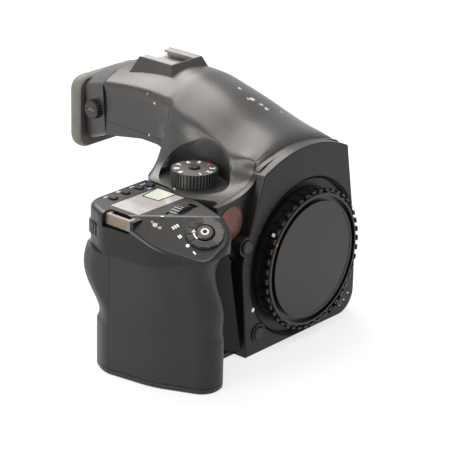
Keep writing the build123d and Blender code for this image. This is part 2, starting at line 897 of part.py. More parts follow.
# Side cover, on the side away from the grip, with the terminals' pocket and the strap lug's recess
door_x = side_reach - door_sink - door_thickness / 2
door_floor_x = door_x - door_thickness / 2 - gap
door_pin_x = door_x
door_pin_y = y_at(door_front_depth) + door_thickness / 2
socket_heights = [between(door_low_z, door_high_z, share) for share in terminal_shares]
lug_right_floor_x = side_reach - lug_right_sink
with BuildPart() as side_cover:
    outer_side(corner_radius + seam, cavity_top_z)
    block((0, y_at(0), 0), (side_reach * 2, y_at(body_depth), deck_z), mode=Mode.INTERSECT)
    for front, back, low_z, high_z, floor_x in (
        (door_front_depth, door_back_depth, door_low_z, door_high_z, door_floor_x),
        (lug_right_depth, lug_right_depth + lug_length, lug_right_z, lug_right_z + lug_height,
         lug_right_floor_x),
    ):
        block(
            (floor_x - wall, y_at(front) - wall, low_z - wall),
            (floor_x + skin, y_at(back) + wall, high_z + wall),
        )
        block(
            (floor_x, y_at(front) - gap, low_z - gap),
            (side_reach + overrun, y_at(back) + gap, high_z + gap),
            mode=Mode.SUBTRACT,
        )
    rod((door_pin_x, door_pin_y, door_low_z - wall), (0, 0, 1),
        door_pin + run, door_high_z - door_low_z + wall * 2, mode=Mode.SUBTRACT)
    for z in socket_heights:
        rod((door_floor_x - wall - overrun, y_at((door_front_depth + door_back_depth) / 2), z), (1, 0, 0),
            terminal_radius, wall + overrun * 2, mode=Mode.SUBTRACT)
save(side_cover.part, "side_cover")

# Base plate with the rounded lower right edge
with BuildPart() as base_plate:
    body_hull(0)
    body_hull(base_thickness, mode=Mode.SUBTRACT)
    block(
        (-valley_reach - seam, y_at(plate_depth + seam), 0),
        (side_reach + overrun, y_at(body_depth), corner_radius),
        mode=Mode.INTERSECT,
    )
    for y, radius in sockets:
        rod((0, y, -overrun), (0, 0, 1), radius + socket_wall + seam, socket_height, mode=Mode.SUBTRACT)
    for place in base_screw_places:
        screw_hole(place, (0, 0, 1))
save(base_plate.part, "base_plate")


# Mirror box: the cast frame that carries the mount, the mirror and the shutter
inner_front_y = y_at(box_front_depth + box_front_wall)
hinge_y = y_at(hinge_depth)
with BuildPart() as mirror_box:
    block((-box_half, box_front_y, box_low_z), (box_half, y_at(box_back_depth), box_top_z))
    block(
        (-box_inner_half, inner_front_y, box_floor_z),
        (box_inner_half, y_at(box_back_depth) + overrun, box_ceiling_z),
        mode=Mode.SUBTRACT,
    )
    block(
        (-mirror_half - skin, inner_front_y - mirror_relief, hinge_z - mirror_thickness * 4),
        (mirror_half + skin, inner_front_y + overrun, box_ceiling_z),
        mode=Mode.SUBTRACT,
    )
    rod((0, box_front_y - overrun, lens_axis_z), (0, 1, 0), throat_clear_radius, box_front_wall + overrun * 2,
        mode=Mode.SUBTRACT)
    for margin, low_z, high_z in (
        (-screen_ledge, box_ceiling_z - overrun, box_top_z + overrun),
        (seam, screen_z, box_top_z + overrun),
    ):
        block(
            (-screen_half - margin, y_at(screen_front_depth - margin), low_z),
            (screen_half + margin, y_at(screen_back_depth + margin), high_z),
            mode=Mode.SUBTRACT,
        )
    rod((-mirror_pin_reach - gap, hinge_y, hinge_z), (1, 0, 0), mirror_pin_radius + run,
        (mirror_pin_reach + gap) * 2, mode=Mode.SUBTRACT)
    block(
        (-af_half - seam, y_at(af_front_depth - seam), box_low_z - overrun),
        (af_half + seam, y_at(af_back_depth + seam), box_floor_z + overrun),
        mode=Mode.SUBTRACT,
    )
    for y, radius in sockets:
        rod((0, y, 0), (0, 0, 1), radius + socket_wall + seam, socket_height + seam, mode=Mode.SUBTRACT)
    for place in base_screw_places:
        screw_hole(place, (0, 0, 1))
    for place in mount_screw_places:
        screw_hole(place, (0, 1, 0))
    rod(pin_place, (0, 1, 0), lock_pin_radius + gap, inner_front_y - y_at(-overrun), mode=Mode.SUBTRACT)
save(mirror_box.part, "mirror_box")

# Rear frame: the face that a digital back is mounted on
gate_low_z = lens_axis_z - gate_height / 2
with BuildPart() as rear_frame:
    extrude(
        body_section(body_depth, side_reach, side_top_half, 0),
        amount=body_depth - frame_plate_depth,
    )
    block(
        (-hood_reach, y_at(0), cavity_top_z),
        (side_reach, y_at(body_depth) + overrun, deck_z),
        mode=Mode.SUBTRACT,
    )
    block(
        (-gate_width / 2 - gate_rim, y_at(frame_plate_depth), gate_low_z - gate_rim),
        (gate_width / 2 + gate_rim, y_at(body_depth + skin), gate_low_z + gate_height + gate_rim),
    )
    block(
        (-gate_width / 2 - skin, y_at(0), gate_low_z - skin),
        (gate_width / 2 + skin, y_at(body_depth) + overrun, gate_low_z + gate_height + skin),
        mode=Mode.SUBTRACT,
    )
    slab(
        Plane.XY.offset(cavity_top_z - wall),
        (
            (-hood_reach * neck_shares[0], y_at(frame_plate_depth)),
            (-hood_reach * neck_shares[1], y_at(neck_depth - gap)),
            (side_top_half * neck_shares[2], y_at(neck_depth - gap)),
            (side_top_half * neck_shares[3], y_at(frame_plate_depth)),
        ),
        wall,
    )
    block(
        (-valley_reach + skin, y_at(grip_length - grip_front + seam), base_thickness + seam),
        (-valley_reach + skin + wall, y_at(frame_plate_depth), cavity_top_z - wall),
    )
    block(
        (-contact_half - seam, y_at(frame_plate_depth + seam), contact_z - contact_height / 2 - seam),
        (contact_half + seam, y_at(body_depth) + overrun, contact_z + contact_height / 2 + seam),
        mode=Mode.SUBTRACT,
    )
    block(
        (latch_x - latch_stem - latch_travel - gap, y_at(body_depth - wall * 2), latch_z - latch_stem - gap),
        (latch_x + latch_stem + gap, y_at(body_depth) + overrun, latch_z + latch_stem + gap),
        mode=Mode.SUBTRACT,
    )
save(rear_frame.part, "rear_frame")

# Grip covers: rubber front and rear, parted along the outer side
split_y = y_at(grip_split_depth)
cover_low_z = foot_height + gap
for name, front_y, back_y in (
    ("grip_front_cover", y_at(-grip_length), split_y),
    ("grip_rear_cover", split_y + seam, y_at(grip_length * 2)),
):
    with BuildPart() as grip_cover:
        grip_body(0)
        grip_body(wall, mode=Mode.SUBTRACT)
        above_seam(-seam / 2, Mode.SUBTRACT)
        block(
            (-grip_reach - overrun, front_y, cover_low_z),
            (-valley_reach, back_y, deck_z),
            mode=Mode.INTERSECT,
        )
    save(grip_cover.part, name)

# Cover on top of the grip, with everything that is let into it
window_low = grip_place(*window_low_share)
window_high = grip_place(*window_high_share)
info_button_places = [grip_place(*share) for share in info_button_shares]
front_dial_y = y_at(front_dial_depth)
front_dial_z = shoulder_z + front_dial_proud - front_dial_radius
rear_dial_y = y_at(rear_dial_depth)
lug_x = -grip_reach + lug_thickness + wall
window_floor_z = shoulder_z - window_thickness
with BuildPart() as hollow:
    shoulder_body(wall, wall)
with BuildPart() as grip_top_cover:
    shoulder_body(0, 0)
    top_edges = [
        edge for edge in grip_top_cover.edges()
        if edge.center().Z > slope_z - grip_seam_rise * 2
        and min(edge.position_at(0).Z, edge.position_at(1).Z) > grip_seam_z
        and edge.center().X < -valley_reach - corner_radius / 2
    ]
    fillet(top_edges, radius=shoulder_round)
    add(hollow.part, mode=Mode.SUBTRACT)
    above_seam(seam / 2, Mode.INTERSECT)
    with Locations(slope_plane.offset(-ring_sink - wall)):
        Cylinder(ring_radius + wall / 2, wall + ring_sink - skin, align=standing)
    with Locations(slope_plane.offset(-ring_sink)):
        Cylinder(ring_radius + gap, ring_sink * 2, align=standing, mode=Mode.SUBTRACT)
    with Locations(slope_plane.offset(-ring_sink - wall - overrun)):
        Cylinder(release_stem + gap, ring_sink * 3, align=standing, mode=Mode.SUBTRACT)
    ear_half = front_dial_pin + skin * 2
    ear_y = front_dial_width / 2 + gap
    for side in (-1, 1):
        near, far = sorted((front_dial_y + side * ear_y, front_dial_y + side * (ear_y + wall)))
        block(
            (front_dial_x - ear_half, near, front_dial_z - ear_half),
            (front_dial_x + ear_half, far, shoulder_z - wall),
        )
    rod((front_dial_x, front_dial_y - ear_y * 2, front_dial_z), (0, 1, 0), front_dial_pin + run, ear_y * 4,
        mode=Mode.SUBTRACT)
    wheel_half = (front_dial_radius ** 2 - (front_dial_radius - front_dial_proud - wall) ** 2) ** 0.5 + gap
    block(
        (front_dial_x - wheel_half, front_dial_y - ear_y, shoulder_z - wall - seam),
        (front_dial_x + wheel_half, front_dial_y + ear_y, deck_z),
        mode=Mode.SUBTRACT,
    )
    rod((rear_dial_x, rear_dial_y, rear_dial_z + rear_dial_width + gap), (0, 0, 1), rear_dial_pin + wall,
        shoulder_z - wall - rear_dial_z - rear_dial_width - gap)
    rod((rear_dial_x, rear_dial_y, rear_dial_z - gap), (0, 0, 1), rear_dial_radius + gap,
        rear_dial_width + gap * 2, mode=Mode.SUBTRACT)
    rod((rear_dial_x, rear_dial_y, rear_dial_z), (0, 0, 1),
        rear_dial_pin + run, shoulder_z - wall - rear_dial_z - seam, mode=Mode.SUBTRACT)
    block(
        (lug_x - lug_thickness, y_at(lug_depth) - wall, shoulder_z - lug_height - skin),
        (lug_x + wall * 2, y_at(lug_depth + lug_length) + wall, shoulder_z - skin),
    )
    block(
        (-grip_reach - overrun, y_at(lug_depth) - gap, shoulder_z - lug_height),
        (lug_x + wall, y_at(lug_depth + lug_length) + gap, deck_z),
        mode=Mode.SUBTRACT,
    )
    block(
        (*window_low, window_floor_z), (*window_high, deck_z), mode=Mode.SUBTRACT
    )
    block(
        (window_low[0] + display_margin, window_low[1] + display_margin, shoulder_z - wall - overrun),
        (window_high[0] - display_margin, window_high[1] - display_margin, deck_z),
        mode=Mode.SUBTRACT,
    )
    for x, y in info_button_places:
        rod((x, y, shoulder_z - wall - overrun), (0, 0, 1), info_button_radius + gap, wall + overrun * 2,
            mode=Mode.SUBTRACT)
    rod((rear_button_x, y_at(grip_length), rear_button_z), (0, -1, 0),
        rear_button_radius + gap, grip_length - rear_button_depth + corner_radius / 2, mode=Mode.SUBTRACT)
    loft([hood_section(shares, -seam) for shares in hood_section_shares], mode=Mode.SUBTRACT)
save(grip_top_cover.part, "grip_top_cover")


# Shutter: a flat box with the gate in it, and two sets of blades that slide down
def gate_cut(front_depth, back_depth):
    """Opening of the picture's size through a stretch of depths."""
    block(
        (-gate_width / 2, y_at(front_depth), gate_low_z),
        (gate_width / 2, y_at(back_depth), gate_low_z + gate_height),
        mode=Mode.SUBTRACT,
    )


with BuildPart() as shutter_frame:
    block(
        (-shutter_half, y_at(shutter_front_depth), shutter_low_z),
        (shutter_half, y_at(shutter_back_depth), shutter_top_z),
    )
    block(
        (-slot_half, y_at(shutter_front_depth + shutter_plate), shutter_low_z + shutter_rail),
        (slot_half, y_at(shutter_back_depth - shutter_plate), shutter_top_z - shutter_rail),
        mode=Mode.SUBTRACT,
    )
    gate_cut(shutter_front_depth - overrun, shutter_back_depth + overrun)
save(shutter_frame.part, "shutter_frame")

blade_step = blade_height - blade_lap
first_blade_z = gate_low_z - blade_margin
for number in range(blade_count * 2):
    with BuildPart() as blade:
        front = shutter_front_depth + shutter_plate + blade_room + blade_pitch * number
        low_z = first_blade_z + blade_step * number if number < blade_count else blade_parked_top_z
        block(
            (-blade_half, y_at(front), low_z),
            (blade_half, y_at(front + blade_thickness), low_z + blade_height),
        )
    side = "front" if number < blade_count else "rear"
    save(blade.part, f"{side}_blade_{number % blade_count + 1}")

# Mirrors: the main mirror carries the small one behind it
mirror_normal = Vector(0, 1, -1).normalized()
mirror_plane = Plane(origin=(0, hinge_y, hinge_z), x_dir=(1, 0, 0), z_dir=mirror_normal)
sub_place = mirror_plane.from_local_coords((0, mirror_length * sub_seat_share, sub_offset))
sub_reach = sub_half + gap
ear_outline = (
    (mirror_length * sub_seat_share - sub_offset, 0),
    (mirror_length * sub_seat_share - sub_pin_radius * 2, sub_offset + sub_pin_radius * 2),
    (mirror_length * sub_seat_share + sub_pin_radius * 2, sub_offset + sub_pin_radius * 2),
    (mirror_length * sub_seat_share + sub_offset, 0),
)
with BuildPart() as reflex_mirror:
    block(
        (-mirror_half, 0, -mirror_thickness / 2),
        (mirror_half, mirror_length, mirror_thickness / 2),
        plane=mirror_plane,
    )
    rod((-mirror_half, hinge_y, hinge_z), (1, 0, 0), mirror_pin_radius + ring_notch, mirror_half * 2)
    rod((-mirror_pin_reach, hinge_y, hinge_z), (1, 0, 0), mirror_pin_radius, mirror_pin_reach * 2)
    for x in (-sub_reach - sub_ear, sub_reach):
        along = Plane(
            origin=mirror_plane.from_local_coords((x, 0, 0)),
            x_dir=mirror_plane.y_dir,
            z_dir=(1, 0, 0),
        )
        slab(along, ear_outline, sub_ear)
    rod((-mirror_half, sub_place.Y, sub_place.Z), (1, 0, 0),
        sub_pin_radius + run, mirror_half * 2, mode=Mode.SUBTRACT)
save(reflex_mirror.part, "reflex_mirror")

sub_plane = Plane(origin=sub_place, x_dir=(1, 0, 0), z_dir=-mirror_plane.y_dir)
with BuildPart() as sub_mirror:
    block(
        (-sub_half, 0, -sub_thickness / 2),
        (sub_half, sub_length, sub_thickness / 2),
        plane=sub_plane,
    )
    rod((-sub_reach - sub_ear, sub_place.Y, sub_place.Z), (1, 0, 0),
        sub_pin_radius, (sub_reach + sub_ear) * 2)
save(sub_mirror.part, "sub_mirror")

with BuildPart() as af_sensor_module:
    block(
        (-af_half, y_at(af_front_depth), box_low_z + skin),
        (af_half, y_at(af_back_depth), box_floor_z - skin),
    )
save(af_sensor_module.part, "af_sensor_module")

# Screen and prism above the mirror box
with BuildPart() as focusing_screen:
    block(
        (-screen_half, y_at(screen_front_depth), screen_z),
        (screen_half, y_at(screen_back_depth), screen_z + screen_thickness),
    )
save(focusing_screen.part, "focusing_screen")

prism_low_z = box_top_z + seam
with BuildPart() as pentaprism:
    prism_side = [
        (y_at(prism_front_depth + prism_length * along), prism_low_z + prism_rise * up)
        for along, up in prism_side_shares
    ]
    slab(Plane.YZ, prism_side, prism_half, both=True)
    roof_edges = [
        edge for edge in pentaprism.edges()
        if abs(edge.center().X) > prism_half - skin
        and edge.center().Z > prism_low_z + prism_rise / 2 + prism_ridge / 2
        and edge.tangent_at(0.5).Y ** 2 > edge.tangent_at(0.5).Z ** 2
    ]
    chamfer(roof_edges, length=prism_ridge)
save(pentaprism.part, "pentaprism")

# Lens mount: steel ring with bayonet slots, its screws and the lock pin
cap_lug_angles = [cap_lug_start + 360 / cap_lug_count * step for step in range(cap_lug_count)]
with BuildPart() as lens_mount_ring:
    lens_turned((
        (throat_radius, -flange_proud),
        (mount_radius, -flange_proud),
        (mount_radius, box_front_depth),
        (lug_groove_radius, box_front_depth),
        (lug_groove_radius, lug_groove_depth),
        (throat_radius, lug_groove_depth),
    ))
    for angle in cap_lug_angles:
        arc_band(throat_radius - skin, lug_groove_radius, angle + cap_turn, cap_lug_angle + mount_slot_room,
                 -flange_proud - overrun, lug_groove_depth + overrun, Mode.SUBTRACT)
    for place in mount_screw_places:
        screw_hole(place, (0, 1, 0))
    rod(pin_place, (0, 1, 0), lock_pin_radius + gap, box_front_depth + overrun * 3, mode=Mode.SUBTRACT)
save(lens_mount_ring.part, "lens_mount_ring")

with BuildPart() as cover_screws:
    for place in mount_screw_places:
        screw(place, (0, 1, 0))
    for place in base_screw_places:
        screw(place, (0, 0, 1))
save(cover_screws.part, "cover_screws")

with BuildPart() as lens_lock_pin:
    rod(pin_place, (0, 1, 0), lock_pin_radius, flange_proud + lock_pin_proud + lock_pin_back_depth)
save(lens_lock_pin.part, "lens_lock_pin")

for name, x, z, radius in (
    ("lens_release_button", lens_button_x, lens_button_z, lens_button_radius),
    ("dof_button", dof_button_x, dof_button_z, dof_button_radius),
):
    with BuildPart() as front_button:
        button((x, y_at(0), z), (0, -1, 0), radius, button_proud, button_back_depth)
    save(front_button.part, name)

with BuildPart() as focus_mode_lever:
    arc_band(lever_circle - lever_width / 2, lever_circle + lever_width / 2, lever_angle, lever_tab_angle,
             -lever_proud, lever_plate_depth)
    plate_reach = lever_width / 2 + lever_margin
    arc_band(lever_circle - plate_reach, lever_circle + plate_reach, lever_angle, lever_plate_angle,
             lever_plate_depth, lever_plate_depth + lever_plate)
save(focus_mode_lever.part, "focus_mode_lever")

with BuildPart() as af_lamp_window:
    rod((lamp_x, y_at(wing_depth - lamp_proud), lamp_z), (0, 1, 0), lamp_radius, lamp_thickness)
    fillet(af_lamp_window.faces().sort_by(Axis.Y)[0].edges(), radius=skin / 2)
save(af_lamp_window.part, "af_lamp_window")

# Body cap: ribbed rim, sunk face, and a spigot whose lugs turn behind the mount
cap_back = flange_proud + gap
cap_face = cap_front - cap_sink
with BuildPart() as body_cap:
    lens_turned((
        (0, -cap_face),
        (cap_disc_radius - skin - cap_sink, -cap_face),
        (cap_disc_radius - skin, -cap_front),
        (cap_disc_radius, -cap_front),
        (cap_disc_radius, cap_groove_depth - cap_front),
        (cap_groove_radius, cap_groove_depth - cap_front),
        (cap_groove_radius, -cap_front),
        (cap_radius - cap_sink, -cap_front),
        (cap_radius, cap_sink - cap_front),
        (cap_radius, cap_tail_depth - cap_tail_length),
        (cap_tail_radius, cap_tail_depth - cap_tail_length),
        (cap_tail_radius, cap_tail_depth),
        (cap_skirt_inner, cap_tail_depth),
        (cap_skirt_inner, -cap_back),
        (cap_spigot_radius, -cap_back),
        (cap_spigot_radius, cap_lug_depth),
        (cap_spigot_radius - cap_spigot_wall, cap_lug_depth),
        (cap_spigot_radius - cap_spigot_wall, cap_plate - cap_face),
        (0, cap_plate - cap_face),
    ))
    with BuildSketch(lens_plane.offset(cap_tail_length - cap_tail_depth)) as teeth:
        Circle(cap_radius)
        with PolarLocations(cap_rim_radius - skin, cap_tooth_count):
            Rectangle(skin * 2, cap_tooth_width)
        Circle(cap_groove_radius, mode=Mode.SUBTRACT)
    extrude(teeth.sketch, amount=cap_tail_depth - cap_tail_length + cap_front - skin)
    for angle in cap_lug_angles:
        arc_band(cap_spigot_radius - skin, cap_lug_radius, angle, cap_lug_angle,
                 cap_lug_depth - cap_lug_thickness, cap_lug_depth)
    groove_reach = lock_pin_radius + gap
    lens_turned((
        (lock_pin_circle - groove_reach, -flange_proud - lock_pin_proud - gap),
        (lock_pin_circle + groove_reach, -flange_proud - lock_pin_proud - gap),
        (lock_pin_circle + groove_reach, -flange_proud),
        (lock_pin_circle - groove_reach, -flange_proud),
    ), Mode.SUBTRACT)
save(body_cap.part, "body_cap")

# Release button and the drive ring round it, on the slope of the grip's top
slope_middle = slope_plane.origin
slope_out = slope_normal.normalized()
with BuildPart() as release_button:
    button(slope_middle, slope_out, release_radius, release_proud, release_depth)
    rod(slope_middle, -slope_out, release_stem, release_reach)
    rod(slope_middle + slope_out * skin, slope_out, release_hole, release_proud, mode=Mode.SUBTRACT)
save(release_button.part, "release_button")

with BuildPart() as drive_mode_ring:
    with BuildSketch(slope_plane.offset(gap - ring_sink)):
        Circle(ring_radius)
        Circle(ring_inner, mode=Mode.SUBTRACT)
        with PolarLocations(ring_radius, ring_notches):
            Rectangle(ring_notch_length, ring_notch, mode=Mode.SUBTRACT)
    extrude(amount=ring_sink - gap + ring_rise)
save(drive_mode_ring.part, "drive_mode_ring")

# Dials
with BuildPart() as front_dial:
    start_y = front_dial_y - front_dial_width / 2
    ribbed_disc(
        Plane(origin=(front_dial_x, start_y, front_dial_z), z_dir=(0, 1, 0)),
        front_dial_radius, front_dial_ribs, mode_dial_rib, front_dial_width,
    )
    pin_half = front_dial_width / 2 + gap + wall
    rod((front_dial_x, front_dial_y - pin_half, front_dial_z), (0, 1, 0), front_dial_pin, pin_half * 2)
save(front_dial.part, "front_dial")

with BuildPart() as rear_dial:
    ribbed_disc(
        Plane(origin=(rear_dial_x, rear_dial_y, rear_dial_z), z_dir=(0, 0, 1)),
        rear_dial_radius, rear_dial_ribs, mode_dial_rib, rear_dial_width,
    )
    rod((rear_dial_x, rear_dial_y, rear_dial_z), (0, 0, 1), rear_dial_pin,
        shoulder_z - wall - rear_dial_z - seam - gap)
save(rear_dial.part, "rear_dial")

dial_low_z = deck_z + gap
dial_top_z = dial_low_z + mode_dial_height
with BuildPart() as mode_dial:
    ribbed_disc(
        Plane(origin=(dial_x, y_at(dial_depth), dial_low_z), z_dir=(0, 0, 1)),
        mode_dial_radius, mode_dial_ribs, mode_dial_rib, mode_dial_height,
    )
    rod((dial_x, y_at(dial_depth), deck_z - wall - skin), (0, 0, 1), dial_stem_radius, wall + skin * 2)
    rod((dial_x, y_at(dial_depth), dial_top_z - mode_lock_depth - mode_lock_travel - gap), (0, 0, 1),
        mode_lock_radius + gap, mode_dial_height, mode=Mode.SUBTRACT)
save(mode_dial.part, "mode_dial")

with BuildPart() as mode_lock_button:
    button((dial_x, y_at(dial_depth), dial_top_z), (0, 0, 1), mode_lock_radius, mode_lock_travel + gap,
           mode_lock_depth)
save(mode_lock_button.part, "mode_lock_button")

for number, (x, y) in enumerate(info_button_places, start=1):
    with BuildPart() as info_button:
        button((x, y, shoulder_z), (0, 0, 1), info_button_radius, info_button_proud, info_button_depth,
               info_button_flange)
    save(info_button.part, f"info_button_{number}")

with BuildPart() as ae_lock_button:
    button((rear_button_x, y_at(rear_button_depth), rear_button_z), (0, 1, 0), rear_button_radius,
           info_button_proud, info_button_depth + skin, info_button_flange)
save(ae_lock_button.part, "ae_lock_button")

# Display in the grip's top
with BuildPart() as display_window:
    block(
        (window_low[0] + seam, window_low[1] + seam, window_floor_z),
        (window_high[0] - seam, window_high[1] - seam, shoulder_z - seam / 2),
    )
save(display_window.part, "display_window")

with BuildPart() as display_module:
    inset = display_margin + seam
    block(
        (window_low[0] + inset, window_low[1] + inset, window_floor_z - seam - display_thickness),
        (window_high[0] - inset, window_high[1] - inset, window_floor_z - seam),
    )
save(display_module.part, "display_module")

# Strap lugs: a loop in the recess on each side
with BuildPart() as strap_lugs:
    for outer_x, floor_x, depth, low_z, high_z in (
        (lug_x - lug_thickness, lug_x + wall, lug_depth, shoulder_z - lug_height + skin, shoulder_z - skin),
        (side_reach - skin / 2, lug_right_floor_x, lug_right_depth, lug_right_z, lug_right_z + lug_height),
    ):
        inward = lug_thickness if floor_x > outer_x else -lug_thickness
        near, far = sorted((outer_x, floor_x))
        block((near, y_at(depth), low_z), (far, y_at(depth + lug_length), high_z))
        near, far = sorted((outer_x + inward, floor_x))
        block(
            (near, y_at(depth) + lug_thickness, low_z - overrun),
            (far, y_at(depth + lug_length) - lug_thickness, high_z + overrun),
            mode=Mode.SUBTRACT,
        )
save(strap_lugs.part, "strap_lugs")


# Finder: the frame behind the hood, the eyepiece lens, the rubber cup and the diopter knob
def finder_outline(depth, half, floor_half, floor_z, eaves_z, crest_z, inset=0):
    """Section of the finder: flat floor, leaning sides and an arched roof."""
    low = floor_z + inset
    high = eaves_z - inset
    with BuildSketch(upright(y_at(depth))) as section:
        with BuildLine():
            ThreePointArc((-half + inset, high), (0, crest_z - inset), (half - inset, high))
            FilletPolyline(
                (half - inset, high),
                (floor_half - inset, low),
                (-floor_half + inset, low),
                (-half + inset, high),
                radius=(eaves_radius, eaves_radius),
            )
        make_face()
    return section.sketch


def softened(part, radius):
    """Edges along the finder's eaves."""
    edges = [
        edge for edge in part.edges()
        if edge.center().Z > eyepiece_axis_z + lens_radius / 2 and edge.length < eyepiece_length * 2
        and abs(edge.tangent_at(0.5).Y) > skin
        and abs(edge.center().X) > eyepiece_half - wall
    ]
    fillet(edges, radius=radius)


last = finder_section_shares[-1]
hood_end = (
    hood_half * last[1],
    (hood_reach * last[4] + side_top_half * last[5]) / 2,
    floor_rear_z,
    deck_z + hood_rise * last[2],
    deck_z + hood_rise * last[3],
)
frame_end = (eyepiece_half, eyepiece_half - wall, eyepiece_floor_z, eyepiece_eaves_z, eyepiece_crest_z)
frame_back_depth = frame_seam_depth + eyepiece_length
boss_front_depth = frame_back_depth - wall - lens_thickness - seam
knob_floor_x = -eyepiece_half + skin
window_foot_z = eyepiece_axis_z - eyecup_window_rise
window_head_z = eyepiece_axis_z + eyecup_window_rise
with BuildPart() as eyepiece_frame:
    loft(
        [finder_outline(frame_seam_depth, *hood_end), finder_outline(frame_back_depth, *frame_end)],
        ruled=True,
    )
    softened(eyepiece_frame, eaves_radius)
    loft(
        [
            finder_outline(frame_seam_depth - seam, *hood_end, inset=wall),
            finder_outline(frame_back_depth - wall, *frame_end, inset=wall),
        ],
        ruled=True,
        mode=Mode.SUBTRACT,
    )
    rod((0, y_at(boss_front_depth), eyepiece_axis_z), (0, 1, 0), lens_radius + wall, lens_thickness + wall)
    rod((0, y_at(boss_front_depth) - overrun, eyepiece_axis_z), (0, 1, 0), lens_radius + seam,
        lens_thickness + overrun, mode=Mode.SUBTRACT)
    rod((0, y_at(boss_front_depth), eyepiece_axis_z), (0, 1, 0), lens_radius - wall, eyepiece_length * 2,
        mode=Mode.SUBTRACT)
    block(
        (-eyecup_window_half - wall, y_at(frame_back_depth), window_foot_z - wall),
        (eyecup_window_half + wall, y_at(frame_back_depth + eyecup_gap), window_head_z + wall),
    )
    block(
        (-eyecup_window_half, y_at(frame_back_depth), window_foot_z),
        (eyecup_window_half, y_at(frame_back_depth + eyecup_gap), window_head_z),
        mode=Mode.SUBTRACT,
    )
    rod((knob_floor_x, y_at(diopter_depth), diopter_z), (-1, 0, 0), diopter_radius + gap, wall * 2,
        mode=Mode.SUBTRACT)
    rod((knob_floor_x - overrun, y_at(diopter_depth), diopter_z), (1, 0, 0),
        diopter_stem + run, wall + overrun * 2, mode=Mode.SUBTRACT)
save(eyepiece_frame.part, "eyepiece_frame")

with BuildPart() as eyepiece_lens:
    rod((0, y_at(boss_front_depth), eyepiece_axis_z), (0, 1, 0), lens_radius, lens_thickness)
    fillet(eyepiece_lens.edges(), radius=skin)
save(eyepiece_lens.part, "eyepiece_lens")

with BuildPart() as diopter_knob:
    ribbed_disc(
        Plane(origin=(knob_floor_x - gap, y_at(diopter_depth), diopter_z), z_dir=(-1, 0, 0)),
        diopter_radius, diopter_ribs, ring_notch, diopter_length,
    )
    rod((knob_floor_x - gap, y_at(diopter_depth), diopter_z), (1, 0, 0), diopter_stem, wall)
save(diopter_knob.part, "diopter_knob")

cup_front_depth = frame_back_depth + eyecup_gap + seam
cup_sizes = (eyecup_half, eyecup_half - wall, eyecup_floor_z, eyecup_eaves_z, eyecup_crest_z)
with BuildPart() as eyecup:
    loft(
        [
            finder_outline(cup_front_depth, *cup_sizes),
            finder_outline(cup_front_depth + eyecup_length, *cup_sizes, inset=eyecup_taper),
        ],
        ruled=True,
    )
    softened(eyecup, eaves_radius)
    block(
        (-eyecup_window_half, y_at(cup_front_depth) - overrun, window_foot_z),
        (eyecup_window_half, y_at(cup_front_depth + eyecup_length) + overrun, window_head_z),
        mode=Mode.SUBTRACT,
    )
save(eyecup.part, "eyecup")

# Accessory shoe: two rails over a floor, with the contacts let into it
shoe_low_z = shoe_floor_z - shoe_plate
lip_z = shoe_floor_z + shoe_slot_height
with BuildPart() as hot_shoe:
    half_profile = (
        (shoe_half, shoe_low_z),
        (shoe_half, lip_z + shoe_lip),
        (shoe_mouth_half, lip_z + shoe_lip),
        (shoe_mouth_half, lip_z),
        (shoe_slot_half, lip_z),
        (shoe_slot_half, shoe_floor_z),
    )
    profile = [*half_profile, *[(-x, z) for x, z in reversed(half_profile)]]
    slab(upright(y_at(shoe_front_depth + shoe_length)), profile, shoe_length)
    for x, y in shoe_pin_places:
        rod((x, y, shoe_low_z - overrun), (0, 0, 1), shoe_pin_radius + run, shoe_plate + overrun * 2,
            mode=Mode.SUBTRACT)
save(hot_shoe.part, "hot_shoe")

with BuildPart() as shoe_contacts:
    for x, y in shoe_pin_places:
        rod((x, y, shoe_low_z), (0, 0, 1), shoe_pin_radius, shoe_plate + seam)
save(shoe_contacts.part, "shoe_contacts")

# Rear: latch and contacts of the digital back
with BuildPart() as back_latch:
    block(
        (latch_x - latch_half, y_at(body_depth) + gap, latch_z - latch_height / 2),
        (latch_x + latch_half, y_at(body_depth) + gap + latch_thickness, latch_z + latch_height / 2),
    )
    block(
        (latch_x - latch_stem, y_at(frame_plate_depth) - gap - skin, latch_z - latch_stem),
        (latch_x + latch_stem, y_at(body_depth) + gap, latch_z + latch_stem),
    )
    block(
        (latch_x - latch_stem * 2, y_at(frame_plate_depth) - gap - skin, latch_z - latch_height / 2),
        (latch_x + latch_stem * 2, y_at(frame_plate_depth) - gap, latch_z + latch_height / 2 + latch_stem),
    )
save(back_latch.part, "back_latch")

with BuildPart() as back_contacts:
    block(
        (-contact_half, y_at(frame_plate_depth + seam), contact_z - contact_height / 2),
        (contact_half, y_at(body_depth), contact_z + contact_height / 2),
    )
    contact_step = contact_half * 2 / contact_pins
    for number in range(contact_pins):
        x = contact_step * (number + 1 / 2) - contact_half
        rod((x, y_at(body_depth), contact_z), (0, 1, 0), contact_pin_radius, contact_pin_radius)
save(back_contacts.part, "back_contacts")

# Electrics beside the mirror box
with BuildPart() as main_board:
    block(
        (board_x, y_at(board_front_depth), board_low_z),
        (board_x + board_thickness, y_at(board_back_depth), board_high_z),
    )
    for depth in (board_front_depth + stand_radius * 2, board_back_depth - stand_radius * 2):
        for z in (board_low_z + stand_radius * 2, board_high_z - stand_radius * 2):
            rod((board_x + board_thickness, y_at(depth), z), (1, 0, 0), stand_radius,
                -box_half - seam - board_x - board_thickness)
    for depth_share, z_share, half_share in chip_shares:
        depth = between(board_front_depth, board_back_depth, depth_share)
        z = between(board_low_z, board_high_z, z_share)
        reach = (board_back_depth - board_front_depth) * half_share
        block(
            (board_x - chip_thickness, y_at(depth) - reach, z - reach),
            (board_x, y_at(depth) + reach, z + reach),
        )
save(main_board.part, "main_board")

